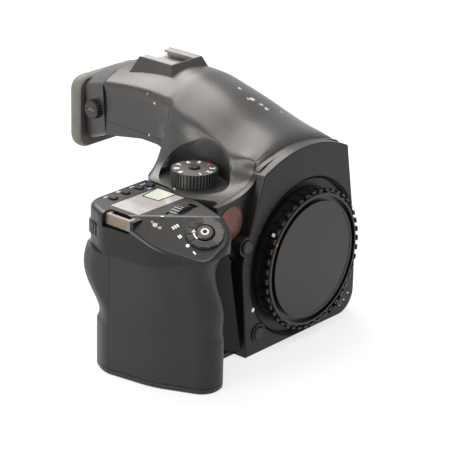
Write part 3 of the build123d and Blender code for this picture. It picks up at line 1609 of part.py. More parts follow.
with BuildPart() as drive_motor:
    motor_low_z = base_thickness + seam
    rod((motor_x, y_at(motor_depth), motor_low_z), (0, 0, 1), motor_radius, motor_length)
    rod((motor_x, y_at(motor_depth), motor_low_z + motor_length), (0, 0, 1),
        motor_shaft, pinion_length + motor_shaft)
    ribbed_disc(
        Plane(origin=(motor_x, y_at(motor_depth), motor_low_z + motor_length + motor_shaft)),
        pinion_radius, pinion_teeth, ring_notch, pinion_length,
    )
save(drive_motor.part, "drive_motor")

# Battery case: it slides out of the grip downwards with the foot, the cells and the lock knob
cell_pitch = cell_radius * 2 + gap
case_half_x = cell_pitch * case_columns / 2 + gap / 2 + case_wall
case_round = cell_radius + gap / 2 + case_wall
case_length = cell_pitch * case_rows + gap + case_wall * 2
case_middle_y = y_at(case_front_depth) + case_length / 2
with BuildPart() as battery_case:
    for inset, mode in ((0, Mode.ADD), (case_wall, Mode.SUBTRACT)):
        low_z = foot_height + inset
        with BuildSketch(Plane.XY.offset(low_z)) as outline:
            with Locations((case_x, case_middle_y)):
                RectangleRounded((case_half_x - inset) * 2, case_length - inset * 2, case_round - inset)
        extrude(outline.sketch, amount=case_height - inset * 2, mode=mode)
save(battery_case.part, "battery_case")

with BuildPart() as batteries:
    cell_low_z = foot_height + case_wall + gap
    with Locations((case_x, case_middle_y, cell_low_z)):
        with GridLocations(cell_pitch, cell_pitch, case_columns, case_rows):
            Cylinder(cell_radius, cell_length, align=standing)
    with Locations((case_x, case_middle_y, cell_low_z + cell_length)):
        with GridLocations(cell_pitch, cell_pitch, case_columns, case_rows):
            Cylinder(cell_nipple_radius, skin * 2, align=standing)
save(batteries.part, "batteries")

with BuildPart() as battery_foot:
    extrude(grip_sketch(0, grip_level_shares[0], 0), amount=foot_height)
    block(
        (-valley_reach - seam - gap, y_at(-grip_length), -overrun),
        (0, y_at(grip_length * 2), foot_height + overrun),
        mode=Mode.SUBTRACT,
    )
    chamfer(battery_foot.faces().sort_by(Axis.Z)[0].edges(), length=skin)
    knob_depth = knob_height + gap + seam
    rod((case_x, case_middle_y, -overrun), (0, 0, 1),
        knob_radius + gap, overrun + knob_depth, mode=Mode.SUBTRACT)
    rod((case_x, case_middle_y, 0), (0, 0, 1), release_stem + run, foot_height + overrun, mode=Mode.SUBTRACT)
save(battery_foot.part, "battery_foot")

with BuildPart() as battery_lock_knob:
    rod((case_x, case_middle_y, seam), (0, 0, 1), knob_radius, knob_height)
    rod((case_x, case_middle_y, seam), (0, 0, 1), release_stem, foot_height - seam * 2)
    block(
        (case_x - knob_radius, case_middle_y - skin, 0),
        (case_x + knob_radius, case_middle_y + skin, skin),
        mode=Mode.SUBTRACT,
    )
save(battery_lock_knob.part, "battery_lock_knob")

# Tripod sockets: threaded bushes through the base plate into the mirror box
with BuildPart() as tripod_sockets:
    for y, radius in sockets:
        rod((0, y, 0), (0, 0, 1), radius + socket_wall, socket_height)
        rod((0, y, -overrun), (0, 0, 1), radius, socket_height + overrun * 2, mode=Mode.SUBTRACT)
save(tripod_sockets.part, "tripod_sockets")

# Terminal cover: a door hinged at its front edge
with BuildPart() as terminal_cover:
    block(
        (door_x - door_thickness / 2, door_pin_y, door_low_z),
        (door_x + door_thickness / 2, y_at(door_back_depth), door_high_z),
    )
    rod((door_pin_x, door_pin_y, door_low_z), (0, 0, 1), door_thickness / 2, door_high_z - door_low_z)
    rod((door_pin_x, door_pin_y, door_low_z - door_pin_length), (0, 0, 1), door_pin,
        door_high_z - door_low_z + door_pin_length * 2)
save(terminal_cover.part, "terminal_cover")
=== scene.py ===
import math

import bpy
from mathutils import Matrix, Vector
from mathutils.bvhtree import BVHTree


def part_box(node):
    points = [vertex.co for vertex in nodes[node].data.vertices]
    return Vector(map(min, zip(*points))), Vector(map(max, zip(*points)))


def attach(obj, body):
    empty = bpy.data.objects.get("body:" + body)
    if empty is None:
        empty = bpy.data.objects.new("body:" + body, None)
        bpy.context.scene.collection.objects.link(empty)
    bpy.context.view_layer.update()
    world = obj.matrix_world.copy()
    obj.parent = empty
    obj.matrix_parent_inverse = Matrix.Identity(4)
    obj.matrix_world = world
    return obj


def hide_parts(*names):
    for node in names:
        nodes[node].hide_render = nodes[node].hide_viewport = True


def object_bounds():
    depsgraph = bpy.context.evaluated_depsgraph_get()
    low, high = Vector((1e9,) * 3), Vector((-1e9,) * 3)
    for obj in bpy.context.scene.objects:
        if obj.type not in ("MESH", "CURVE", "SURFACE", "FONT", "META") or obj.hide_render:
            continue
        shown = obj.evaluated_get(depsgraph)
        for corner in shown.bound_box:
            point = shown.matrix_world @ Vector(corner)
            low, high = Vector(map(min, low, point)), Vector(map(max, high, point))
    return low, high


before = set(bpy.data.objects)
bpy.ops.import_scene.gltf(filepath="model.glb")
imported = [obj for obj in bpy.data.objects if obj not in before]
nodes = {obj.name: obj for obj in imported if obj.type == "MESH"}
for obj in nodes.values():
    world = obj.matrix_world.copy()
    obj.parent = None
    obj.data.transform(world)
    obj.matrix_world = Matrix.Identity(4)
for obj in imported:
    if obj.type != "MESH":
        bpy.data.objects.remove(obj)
cad_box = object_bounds()

# Places on the camera, in millimetres: x, depth behind the front plate's face, height
MM = 0.001
PLATE_Y = -30.0                        # face of the front plate, from the tripod socket
LENS_Z = 42.6                          # lens axis
DECK_Z = 84.5                          # deck round the mode dial
SHOULDER_Z = 84.0                      # flat part of the grip's top
BACK_DEPTH = 61.5                      # face of the back frame
SIDE_SCREW_X = 48.76                   # just inside the side cover's face, so that the heads end on it
DOOR_X = 48.8                          # face of the terminal door
SLOPE_MIDDLE = (-80.0, -3.0, 78.5)     # middle of the release button, on the grip's sloping top
SLOPE_NORMAL = Vector((-0.40, -0.36, 0.843)).normalized()
DIAL = (-43.5, 36.8, 92.0)             # top of the mode dial
FRONT_WHEEL = (-74.8, 16.6, 74.4)
REAR_WHEEL = (-91.6, 46.4, 72.9)
DIOPTER = (-22.0, 126.0, 97.0)
DIOPTER_FACE_X = -26.1
LAMP_MIDDLE = (-52.0, 5.0, 73.6)       # autofocus lamp window
LAMP_RADIUS = 9.0
LENS_RELEASE = (-34.7, 0.0, 11.4)

# How a surface faces: the direction out of it, and what is up on it
LYING = ((0, 0, 1), (0, 1, 0))
FORWARD = ((0, -1, 0), (0, 0, 1))
BACKWARD = ((0, 1, 0), (0, 0, 1))
SIDEWAYS = ((1, 0, 0), (0, 0, 1))
ON_SLOPE = (SLOPE_NORMAL, (0.3, 1, 0))

PAINT = 0.04               # how far a printed mark stands above what it is on
PRINT_SINK = 0.05          # and how far it goes in
LETTER_WEIGHT = 0.07       # by how much the characters are thickened
FULL_RING = 359.5          # degrees, which leaves a hairline gap
SURROUND_LIGHT = 0.6       # of the white that the camera sees
FLOOR_GLOW = 0.72          # share of plain white in the floor, for the camera and in gloss
FLOOR_REACH = 6.0          # metres
LAMP_COLOUR = (1.0, 0.955, 0.915)


def at(x, depth, z):
    """Point in metres from millimetres, depths counted back from the front plate's face."""
    return Vector((x, depth + PLATE_Y, z)) * MM


# Shaders
class Wire:
    """A number or colour that changes over a surface. Sums on it add their Math nodes."""

    def __init__(self, finish, link):
        self.finish = finish
        self.link = link

    def math(self, operation, first, second):
        """Wire with the result of one Math node."""
        return self.finish.node("Math", {"operation": operation}, {0: first, 1: second})

    def __add__(self, other):
        return self.math("ADD", self, other)

    def __radd__(self, other):
        return self.math("ADD", other, self)

    def __sub__(self, other):
        return self.math("SUBTRACT", self, other)

    def __rsub__(self, other):
        return self.math("SUBTRACT", other, self)

    def __mul__(self, other):
        return self.math("MULTIPLY", self, other)

    def __rmul__(self, other):
        return self.math("MULTIPLY", other, self)

    def __gt__(self, other):
        return self.math("GREATER_THAN", self, other)

    def __lt__(self, other):
        return self.math("LESS_THAN", self, other)


class Shader:
    """Node tree that nodes are added to."""

    def __init__(self, tree):
        self.tree = tree

    def node(self, kind, settings, values, output=0):
        """Any other node: its settings first, then the values or wires of its sockets."""
        made = self.tree.nodes.new("ShaderNode" + kind)
        for name, value in settings.items():
            if name == "stops":
                self.set_stops(made.color_ramp, value)
            else:
                setattr(made, name, value)
        for key, value in values.items():
            self.feed(made.inputs[key], value)
        return Wire(self, made.outputs[output])

    def set_stops(self, ramp, stops):
        """Ramp of (position, value) stops."""
        while len(ramp.elements) < len(stops):
            ramp.elements.new(1.0)
        for element, (position, value) in zip(ramp.elements, stops):
            element.position = position
            element.color = value if isinstance(value, tuple) else (value, value, value, 1.0)

    def feed(self, socket, value):
        """Links a wire to a socket, or sets its value."""
        if isinstance(value, Wire):
            self.tree.links.new(value.link, socket)
        else:
            socket.default_value = value

    def seen_ray(self, *kinds):
        """1 for rays of any of these kinds."""
        rays = [self.node("LightPath", {}, {}, f"Is {kind} Ray") for kind in kinds]
        seen = rays[0]
        for ray in rays[1:]:
            seen = self.node("Math", {"operation": "MAXIMUM"}, {0: seen, 1: ray})
        return seen


class Finish(Shader):
    """One material with its Principled surface, written for this camera's plastics, rubber and metal."""

    def __init__(self, name, **constants):
        self.material = bpy.data.materials.new(name)
        self.material.use_nodes = True
        super().__init__(self.material.node_tree)
        self.surface = self.tree.nodes["Principled BSDF"]
        for socket, value in constants.items():
            self.surface.inputs[socket.replace("_", " ")].default_value = value

    def set(self, **values):
        """Feeds sockets of the surface."""
        for name, value in values.items():
            self.feed(self.surface.inputs[name.replace("_", " ")], value)

    def place(self):
        """Place on the piece in millimetres."""
        here = self.node("TexCoord", {}, {}, "Object")
        return self.node("VectorMath", {"operation": "SCALE"}, {0: here, "Scale": 1 / MM})

    def noise(self, size, detail=3.0, rough=0.55, stretch=(1, 1, 1), warp=0.0):
        """Cloudy value whose blotches are about this many millimetres across."""
        scale = Vector(stretch) / size
        place = self.node("VectorMath", {"operation": "MULTIPLY"}, {0: self.place(), 1: scale})
        return self.node("TexNoise", {}, {
            "Vector": place, "Scale": 1.0, "Detail": detail, "Roughness": rough, "Distortion": warp,
        })

    def cells(self, size, spread=1.0):
        """Distance from scattered points this many millimetres apart."""
        place = self.node("VectorMath", {"operation": "SCALE"}, {0: self.place(), "Scale": 1 / size})
        return self.node("TexVoronoi", {}, {"Vector": place, "Scale": 1.0, "Randomness": spread}, "Distance")

    def ramp(self, value, *stops):
        """Value sent through a colour ramp."""
        return self.node("ValToRGB", {"stops": stops}, {0: value})

    def mix(self, share, first, second):
        """Colour between two colours."""
        return self.node("Mix", {"data_type": "RGBA"}, {0: share, 6: first, 7: second}, 2)

    def bump(self, height, strength, distance):
        """Normal that follows a height, the distance in metres."""
        return self.node("Bump", {}, {"Height": height, "Strength": strength, "Distance": distance})

    def from_axis(self, centre, axis):
        """Distance in millimetres from an axis through a place."""
        middle = Vector((centre[0], centre[1] + PLATE_Y, centre[2]))
        offset = self.node("VectorMath", {"operation": "SUBTRACT"}, {0: self.place(), 1: middle})
        across = self.node("VectorMath", {"operation": "CROSS_PRODUCT"}, {0: offset, 1: Vector(axis)})
        return self.node("VectorMath", {"operation": "LENGTH"}, {0: across}, "Value")

    def near(self, point, radius, ragged, size):
        """1 within a ragged spot round a point, 0 outside it."""
        away = self.node("VectorMath", {"operation": "DISTANCE"}, {0: self.place(), 1: point}, "Value")
        edge = away + (self.noise(size, 4.0) - 0.5) * (ragged * 2)
        return self.ramp(edge * (0.5 / radius), (0.42, 1.0), (0.5, 0.0))


def grey(value, warmth=0.0):
    """Neutral colour, made a little warmer."""
    return (value * (1 + warmth), value, value * (1 - warmth), 1.0)


# Wear of the plastics and metals: sizes in millimetres
BLOTCH, PATCH, SCRATCH = 26.0, 4.0, 1.6
DUST_FIELD, DUST_SPACING, DUST_RADIUS = 1.1, 0.9, 0.12       # the radius as a share of the spacing
BRUSH_LINE, STAIN = 0.9, 3.2
GRAIN_HEIGHT, BRUSH_HEIGHT = 0.00006, 0.00004                # metres


def moulded(name, tone, roughness, grain, depth, dust=0.5, gloss_spread=0.08, chips=(), rubs=(), coat=0.0,
            index=1.48):
    """Black plastic or rubber: blotches, fine grain, dust specks, scuffs, rubbed spots and chips."""
    finish = Finish(name, IOR=index, Coat_Weight=coat, Coat_Roughness=0.2)
    clouds = finish.noise(BLOTCH, 3.0)
    patches = finish.noise(PATCH, 5.0, 0.65)
    cloud_share = finish.ramp(clouds, (0.3, 0.0), (0.72, 1.0))
    colour = finish.mix(cloud_share, grey(tone * 0.86, 0.035), grey(tone * 1.16, 0.05))
    colour = finish.mix(finish.ramp(patches, (0.45, 0.0), (0.8, 0.22)), colour, grey(tone * 1.9, 0.06))
    dusty = finish.ramp(finish.noise(DUST_FIELD, 2.0), (0.5, 0.0), (0.62, dust))
    specks = (finish.cells(DUST_SPACING) < DUST_RADIUS) * dusty
    colour = finish.mix(specks, colour, grey(tone * 7 + 0.05, 0.05))
    scratch = finish.noise(SCRATCH, 2.0, 0.5, stretch=(0.15, 0.3, 2.6), warp=0.4)
    scuff = finish.ramp(scratch, (0.66, 0.0), (0.74, 1.0)) * finish.ramp(clouds, (0.48, 0.0), (0.62, 0.16))
    colour = finish.mix(scuff, colour, grey(tone * 3.2, 0.04))
    gloss = roughness + (clouds - 0.5) * gloss_spread + (patches - 0.5) * gloss_spread + scuff * 0.2
    for place, radius in rubs:
        rub = finish.near(place, radius, radius * 0.7, radius * 0.5)
        colour = finish.mix(rub * 0.5, colour, grey(tone * 4.0, 0.1))
        gloss = gloss - rub * 0.14
    for place, radius, shade in chips:
        chip = finish.near(place, radius, radius * 1.1, radius * 0.8)
        colour = finish.mix(chip, colour, shade)
    fine = finish.noise(grain, 2.0)
    finish.set(Base_Color=colour, Roughness=gloss, Normal=finish.bump(fine, depth, GRAIN_HEIGHT))
    return finish.material


def metal(name, tone, roughness, brushed=(1, 1, 1), tarnish=0.25, warmth=0.02):
    """Turned or pressed metal with brush lines and stains."""
    finish = Finish(name, Metallic=1.0)
    lines = finish.noise(BRUSH_LINE, 3.0, 0.6, stretch=brushed)
    stain = finish.noise(STAIN, 4.0)
    stained = finish.ramp(stain, (0.4, 0.0), (0.75, tarnish))
    colour = finish.mix(stained, grey(tone, warmth), grey(tone * 0.42, 0.08))
    finish.set(
        Base_Color=colour,
        Roughness=roughness + (lines - 0.5) * 0.22 + (stain - 0.5) * 0.12,
        Normal=finish.bump(lines, 0.12, BRUSH_HEIGHT),
    )
    return finish.material


def printed(name, colour):
    """Printed mark, a little worn."""
    finish = Finish(name)
    wear = finish.noise(0.35, 4.0, 0.7)
    shade = finish.mix(finish.ramp(wear, (0.5, 0.0), (0.85, 0.5)), colour, grey(0.12))
    finish.set(Base_Color=shade, Roughness=0.5 + (wear - 0.5) * 0.2)
    return finish.material


# Chips and rubs: place in the model's own millimetres, radius, and a chip's colour
FILLER = (0.40, 0.355, 0.32, 1.0)      # warm white under the paint
HOOD_CHIPS = (
    ((5.5, 20.7, 119.0), 1.1, FILLER),
    ((4.6, 11.2, 115.7), 1.6, FILLER),
    ((2.4, 12.1, 116.2), 0.8, FILLER),
    ((6.3, 6.6, 113.4), 1.1, FILLER),
    ((6.5, 3.2, 111.9), 1.2, FILLER),
    ((15.5, 0.4, 108.9), 0.7, FILLER),
    ((-23.6, 56.4, 92.1), 0.7, FILLER),
    ((-24.9, 51.2, 111.0), 0.9, FILLER),
    ((-26.5, 55.6, 115.2), 0.6, FILLER),
)
TOP_CHIPS = (
    ((-92.6, -12.7, 81.1), 1.3, (0.36, 0.34, 0.32, 1.0)),
    ((-92.5, -10.7, 82.0), 0.7, (0.20, 0.19, 0.18, 1.0)),
    ((-92.2, -15.3, 80.3), 0.9, (0.24, 0.23, 0.21, 1.0)),
)
TOP_RUBS = (
    ((-99.5, -2.0, 83.6), 2.0),
)

# Moulded: tone, roughness, grain's size in millimetres and its depth. Metal: tone, roughness, brushing.
BODY = moulded("satin_body_plastic", 0.0060, 0.34, 0.35, 0.25, dust=0.55, index=1.36)
# Painted light: the hood's tone, three times the body's, stands for the light that falls on the camera's top.
LIGHTENED_HOOD = moulded("satin_hood_plastic_painted_light", 0.0180, 0.33, 0.35, 0.22, dust=0.6, chips=HOOD_CHIPS, index=1.50)
TOP = moulded("grained_top_plastic", 0.0050, 0.29, 0.28, 0.15, dust=0.6, chips=TOP_CHIPS, rubs=TOP_RUBS,
              index=1.38)
GRIP = moulded("grip_rubber", 0.0090, 0.44, 0.22, 0.18, dust=0.35, gloss_spread=0.05, index=1.40)
FOOT = moulded("foot_plastic", 0.0110, 0.40, 0.4, 0.3, dust=0.4, index=1.42)
# Partly dust, partly painted sheen: the black rubber gets a light grey tone for both its dust and the sheen
# on it.
CUP_DUST_AND_SHEEN = moulded("eyecup_rubber", 0.0800, 0.55, 0.2, 0.3, dust=0.3)
CAP = moulded("cap_plastic", 0.0060, 0.30, 0.5, 0.05, dust=0.3, coat=0.15, index=1.40)
BUTTON = moulded("button_plastic", 0.0080, 0.28, 0.3, 0.12, dust=0.3, index=1.42)
CAST = moulded("painted_casting", 0.014, 0.62, 0.3, 0.5, dust=0.2)
BLACK_SHEET = moulded("blackened_sheet", 0.010, 0.5, 0.5, 0.15, dust=0.2)
STEEL = metal("turned_steel", 0.62, 0.28)
SHOE = metal("pressed_steel", 0.30, 0.36, (0.2, 3, 1))
WORN = metal("worn_silver", 0.34, 0.34, tarnish=0.5, warmth=0.05)
GOLD = metal("gold_plate", 0.75, 0.22, warmth=0.3)
WHITE = printed("white_print", grey(0.72, 0.02))
RED = printed("red_print", (0.55, 0.02, 0.015, 1.0))
BLUE = printed("blue_print", (0.18, 0.35, 0.6, 1.0))


def coated_glass(tint):
    """Polished glass with a faint coating and smears."""
    finish = Finish("coated_glass", IOR=1.5, Transmission_Weight=1.0)
    smear = finish.noise(6.0, 4.0)
    smeared = tuple(value * 0.92 for value in tint) + (1.0,)
    finish.set(Base_Color=finish.mix(smear, tint + (1.0,), smeared), Roughness=0.04 + (smear - 0.5) * 0.05)
    return finish.material


def lamp_window():
    """Dusty dark red window, brighter towards its left edge."""
    finish = Finish("dusty_red_window", IOR=1.36)
    across = finish.node("SeparateXYZ", {}, {0: finish.place()}, 0)
    from_left = (across - (LAMP_MIDDLE[0] - LAMP_RADIUS)) * (0.5 / LAMP_RADIUS)
    edge = finish.ramp(from_left, (0.0, 1.0), (0.4, 0.0))
    dirt = finish.noise(3.4, 4.0, 0.6)
    colour = finish.mix(edge, (0.100, 0.036, 0.030, 1.0), (0.30, 0.030, 0.024, 1.0))
    colour = finish.mix(finish.ramp(dirt, (0.4, 0.0), (0.9, 0.25)), colour, grey(0.11, 0.2))
    finish.set(Base_Color=colour, Roughness=0.24 + (dirt - 0.5) * 0.12)
    return finish.material


def display_panel():
    """Pale green display under its window."""
    finish = Finish("display_panel", Coat_Weight=0.6, Coat_Roughness=0.08)
    cloud = finish.noise(7.0, 3.0)
    colour = finish.mix(cloud, (0.34, 0.40, 0.30, 1.0), (0.44, 0.50, 0.38, 1.0))
    finish.set(Base_Color=colour, Roughness=0.35 + (cloud - 0.5) * 0.15)
    return finish.material


def display_cover():
    """Light grey glossy panel round the display."""
    finish = Finish("display_cover", IOR=1.5, Coat_Weight=0.8, Coat_Roughness=0.05)
    smear = finish.noise(5.0, 4.0)
    finish.set(Base_Color=finish.mix(smear, grey(0.26, 0.03), grey(0.33, 0.03)),
               Roughness=0.16 + (smear - 0.5) * 0.12)
    return finish.material


def circuit_board():
    """Green board with lighter tracks."""
    finish = Finish("circuit_board")
    tracks = finish.cells(2.4, 0.7)
    track_share = finish.ramp(tracks, (0.40, 0.0), (0.44, 1.0))
    colour = finish.mix(track_share, (0.012, 0.07, 0.03, 1.0), (0.03, 0.14, 0.06, 1.0))
    finish.set(Base_Color=colour, Roughness=0.4 + (tracks - 0.5) * 0.1)
    return finish.material


def cell_jackets():
    """Blue-grey sleeves of the cells, rubbed."""
    finish = Finish("cell_jackets", Coat_Weight=0.4)
    rub = finish.noise(5.0, 4.0)
    finish.set(Base_Color=finish.mix(rub, (0.05, 0.06, 0.09, 1.0), (0.10, 0.11, 0.15, 1.0)),
               Roughness=0.35 + (rub - 0.5) * 0.2, Metallic=finish.ramp(rub, (0.4, 0.2), (0.6, 0.6)))
    return finish.material


GLASS = coated_glass((0.80, 0.88, 0.86))
MIRROR = metal("front_silvered", 0.9, 0.05, tarnish=0.05, warmth=0.0)
LAMP = lamp_window()
PANEL = display_panel()
COVER = display_cover()
BOARD = circuit_board()
CELLS = cell_jackets()
MOTOR = metal("plated_can", 0.5, 0.36, (1, 1, 0.2))


def release_cap(hole=0.85, silver_radius=2.0):
    """Dark button with a worn silver centre and a dark hole."""
    finish = Finish("release_cap")
    away = finish.from_axis(SLOPE_MIDDLE, SLOPE_NORMAL)
    wear = finish.noise(0.9, 4.0)
    silver = (away < silver_radius) * (away > hole)
    colour = finish.mix(silver, grey(0.012, 0.05), finish.mix(wear, grey(0.46, 0.02), grey(0.20, 0.08)))
    finish.set(Base_Color=colour, Metallic=silver, Roughness=0.34 + (wear - 0.5) * 0.25)
    return finish.material


def ribbed(name, centre, axis, radius, top_tone):
    """Ribbed control: worn rib tops, dark grooves, and a flat top of its own tone."""
    finish = Finish(name, IOR=1.48)
    away = finish.from_axis(centre, axis)
    wear = finish.noise(1.2, 4.0, 0.65)
    rib = finish.ramp(away * (1 / radius), (0.972, 0.0), (0.99, 1.0))
    flat = away < radius * 0.93
    grooved = finish.mix(rib * (0.35 + wear * 0.5), grey(0.006), grey(0.075, 0.05))
    top = finish.mix(wear, grey(top_tone * 0.8, 0.04), grey(top_tone * 1.2, 0.04))
    finish.set(Base_Color=finish.mix(flat, grooved, top), Roughness=0.38 + (wear - 0.5) * 0.2,
               Normal=finish.bump(finish.noise(0.3, 2.0), 0.2, 0.00005))
    return finish.material


# Linings of the loops on the grip and on the side, on the model's own y and height: from, to, from, to
GRIP_LINING = (-3.2, 9.2, 78.4, 82.4)
SIDE_LINING = (-0.2, 12.2, 67.4, 71.6)


def strap_loop():
    """Dark plated loop with a tan lining on its outer faces."""
    finish = Finish("strap_loop")
    wear = finish.noise(1.4, 4.0)
    weave = finish.noise(0.5, 2.0, 0.5, stretch=(1, 3, 1))
    y = finish.node("SeparateXYZ", {}, {0: finish.place()}, 1)
    z = finish.node("SeparateXYZ", {}, {0: finish.place()}, 2)
    on_grip, on_side = (
        (y > front) * (y < back) * (z > low) * (z < high)
        for front, back, low, high in (GRIP_LINING, SIDE_LINING)
    )
    lining = on_grip + on_side
    plated = finish.mix(wear, grey(0.10, 0.03), grey(0.30, 0.04))
    tan = finish.mix(weave, (0.07, 0.05, 0.03, 1.0), (0.20, 0.155, 0.10, 1.0))
    finish.set(
        Base_Color=finish.mix(lining, plated, tan),
        Metallic=0.9 - lining * 0.9,
        Roughness=0.36 + lining * 0.4 + (wear - 0.5) * 0.2,
        Normal=finish.bump(weave, 0.3, 0.0001),
    )
    return finish.material


def active_area():
    """Pale green display area with faint rows of segments."""
    finish = Finish("display_active_area", Coat_Weight=0.7, Coat_Roughness=0.06)
    cloud = finish.noise(5.0, 3.0)
    colour = finish.mix(cloud, (0.36, 0.40, 0.32, 1.0), (0.44, 0.47, 0.38, 1.0))
    segment = finish.cells(1.6, 0.0)
    colour = finish.mix(finish.ramp(segment, (0.20, 0.12), (0.26, 0.0)), colour, (0.16, 0.2, 0.14, 1.0))
    finish.set(Base_Color=colour, Roughness=0.3 + (cloud - 0.5) * 0.15)
    return finish.material


RELEASE = release_cap()
MODE_RIBS = ribbed("mode_dial_plastic", DIAL, (0, 0, 1), radius=11.8, top_tone=0.035)
FRONT_RIBS = ribbed("front_wheel_plastic", FRONT_WHEEL, (0, 1, 0), radius=11.6, top_tone=0.02)
REAR_RIBS = ribbed("rear_wheel_plastic", REAR_WHEEL, (0, 0, 1), radius=11.4, top_tone=0.02)
KNOB_RIBS = ribbed("diopter_plastic", DIOPTER, (1, 0, 0), radius=5.0, top_tone=0.012)
SEGMENT = moulded("ring_segment_plastic", 0.0060, 0.20, 0.3, 0.1, dust=0.5, coat=0.5)
RING = moulded("ring_base_plastic", 0.030, 0.32, 0.3, 0.2, dust=0.5)
LUG = strap_loop()
ACTIVE = active_area()
SCREW = metal("blackened_screw", 0.08, 0.35)
RECESS = moulded("recess_shadow", 0.004, 0.6, 0.3, 0.1, dust=0.0)

node_finish = {
    BODY: "front_cover side_cover base_plate terminal_cover rear_frame",
    LIGHTENED_HOOD: "top_cover finder_floor eyepiece_frame",
    TOP: "grip_top_cover",
    GRIP: "grip_front_cover grip_rear_cover",
    FOOT: "battery_foot battery_case",
    CUP_DUST_AND_SHEEN: "eyecup",
    CAP: "body_cap",
    BUTTON: "dof_button lens_release_button focus_mode_lever mode_lock_button info_button_1 info_button_2 "
            "info_button_3 info_button_4 ae_lock_button back_latch",
    RING: "drive_mode_ring",
    MODE_RIBS: "mode_dial",
    FRONT_RIBS: "front_dial",
    REAR_RIBS: "rear_dial",
    KNOB_RIBS: "diopter_knob",
    CAST: "mirror_box af_sensor_module",
    BLACK_SHEET: "shutter_frame front_blade_1 front_blade_2 front_blade_3 rear_blade_1 rear_blade_2 "
                 "rear_blade_3",
    STEEL: "lens_mount_ring cover_screws lens_lock_pin tripod_sockets battery_lock_knob",
    SHOE: "hot_shoe",
    LUG: "strap_lugs",
    RELEASE: "release_button",
    GOLD: "shoe_contacts back_contacts",
    GLASS: "pentaprism focusing_screen eyepiece_lens",
    MIRROR: "reflex_mirror sub_mirror",
    LAMP: "af_lamp_window",
    COVER: "display_window",
    PANEL: "display_module",
    BOARD: "main_board",
    CELLS: "batteries",
    MOTOR: "drive_motor",
}
for material, names in node_finish.items():
    for name in names.split():
        mesh = nodes[name].data
        mesh.materials.clear()
        mesh.materials.append(material)


# Making of pieces
def axes(place, normal, up):
    """Place, right, up and normal of a flat piece, in metres."""
    normal = Vector(normal).normalized()
    right = Vector(up).cross(normal).normalized()
    return at(*place), right, normal.cross(right), normal


def on_axes(frame_axes, across, up, out):
    """Point given in millimetres on a flat piece's own axes."""
    place, right, above, normal = frame_axes
    return place + (right * across + above * up + normal * out) * MM


def piece(name, vertices, faces, material, body, smooth=False):
    """Mesh piece that rides on a body."""
    mesh = bpy.data.meshes.new(name)
    mesh.from_pydata([tuple(vertex) for vertex in vertices], [], faces)
    mesh.materials.append(material)
    mesh.polygons.foreach_set("use_smooth", [smooth] * len(mesh.polygons))
    made = bpy.data.objects.new(name, mesh)
    bpy.context.scene.collection.objects.link(made)
    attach(made, body)
    return made


def stacked(name, rings, material, body, closed_ends=True, smooth=False):
    """Skin over rings of points, closed at both ends."""
    count = len(rings[0])
    vertices = [point for ring in rings for point in ring]
    faces = []
    for start in range(0, (len(rings) - 1) * count, count):
        for k in range(count):
            after = (k + 1) % count
            faces.append((start + k, start + after, start + count + after, start + count + k))
    if closed_ends:
        faces.append(tuple(reversed(range(count))))
        faces.append(tuple(range((len(rings) - 1) * count, len(rings) * count)))
    return piece(name, vertices, faces, material, body, smooth)


def plaque(name, frame_axes, outline, height, material, body, sink=0.3, bevel=0.25):
    """Flat piece with a bevelled rim. The outline runs anticlockwise, in millimetres."""
    middle = Vector((sum(x for x, _ in outline), sum(y for _, y in outline))) / len(outline)
    inner = 1 - bevel * height / max((Vector(point) - middle).length for point in outline)
    rings = [
        [on_axes(frame_axes, middle.x + (x - middle.x) * scale, middle.y + (y - middle.y) * scale, out)
         for x, y in outline]
        for scale, out in ((1.0, -sink), (1.0, height * (1 - bevel)), (inner, height))
    ]
    return stacked(name, rings, material, body)


def printed_mark(name, spot, facing, outline, ink, body="root"):
    """Printed mark on a surface."""
    return plaque(name, axes(spot, *facing), outline, PAINT, ink, body, sink=PRINT_SINK)


def round_outline(radius, steps=24):
    """Circle as a polygon."""
    turns = [k * math.tau / steps for k in range(steps)]
    return [(radius * math.cos(turn), radius * math.sin(turn)) for turn in turns]


def bar_outline(width, height, x=0.0, y=0.0, corner=0.12):
    """Rectangle with clipped corners."""
    w, h = width / 2, height / 2
    corners = ((w - corner, -h), (w, -h + corner), (w, h - corner), (w - corner, h),
               (-w + corner, h), (-w, h - corner), (-w, -h + corner), (-w + corner, -h))
    return [(x + a, y + b) for a, b in corners]


def arc_plaque(name, frame_axes, inner, outer, start, sweep, height, material, body, sink, steps=12):
    """Piece of a flat ring, angles in degrees from the frame's right."""
    angles = [math.radians(start + sweep * k / steps) for k in range(steps + 1)]
    outline = [(outer * math.cos(a), outer * math.sin(a)) for a in angles]
    outline += [(inner * math.cos(a), inner * math.sin(a)) for a in reversed(angles)]
    rings = [[on_axes(frame_axes, x, y, out) for x, y in outline] for out in (-sink, height)]
    count = len(outline)
    vertices = [point for ring in rings for point in ring]
    faces = [(k, (k + 1) % count, count + (k + 1) % count, count + k) for k in range(count)]
    for low, flip in ((0, True), (count, False)):
        for k in range(steps):
            quad = (low + k, low + k + 1, low + count - 2 - k, low + count - 1 - k)
            faces.append(quad if flip else tuple(reversed(quad)))
    return piece(name, vertices, faces, material, body)


def lettering(name, text, size, frame_axes, material, body):
    """Printed characters that stand on a surface."""
    curve = bpy.data.curves.new(name, "FONT")
    curve.body = text
    curve.size = size
    curve.align_x = "CENTER"
    curve.align_y = "CENTER"
    curve.extrude = PAINT / 2
    curve.offset = LETTER_WEIGHT
    source = bpy.data.objects.new(name + "_source", curve)
    mesh = bpy.data.meshes.new_from_object(source)
    bpy.data.objects.remove(source)
    place, right, above, normal = frame_axes
    turn = Matrix((
        (right.x, above.x, normal.x, place.x),
        (right.y, above.y, normal.y, place.y),
        (right.z, above.z, normal.z, place.z),
        (0, 0, 0, 1),
    ))
    mesh.transform(turn @ Matrix.Scale(MM, 4))
    mesh.materials.clear()
    mesh.materials.append(material)
    made = bpy.data.objects.new(name, mesh)
    bpy.context.scene.collection.objects.link(made)
    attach(made, body)
    return made


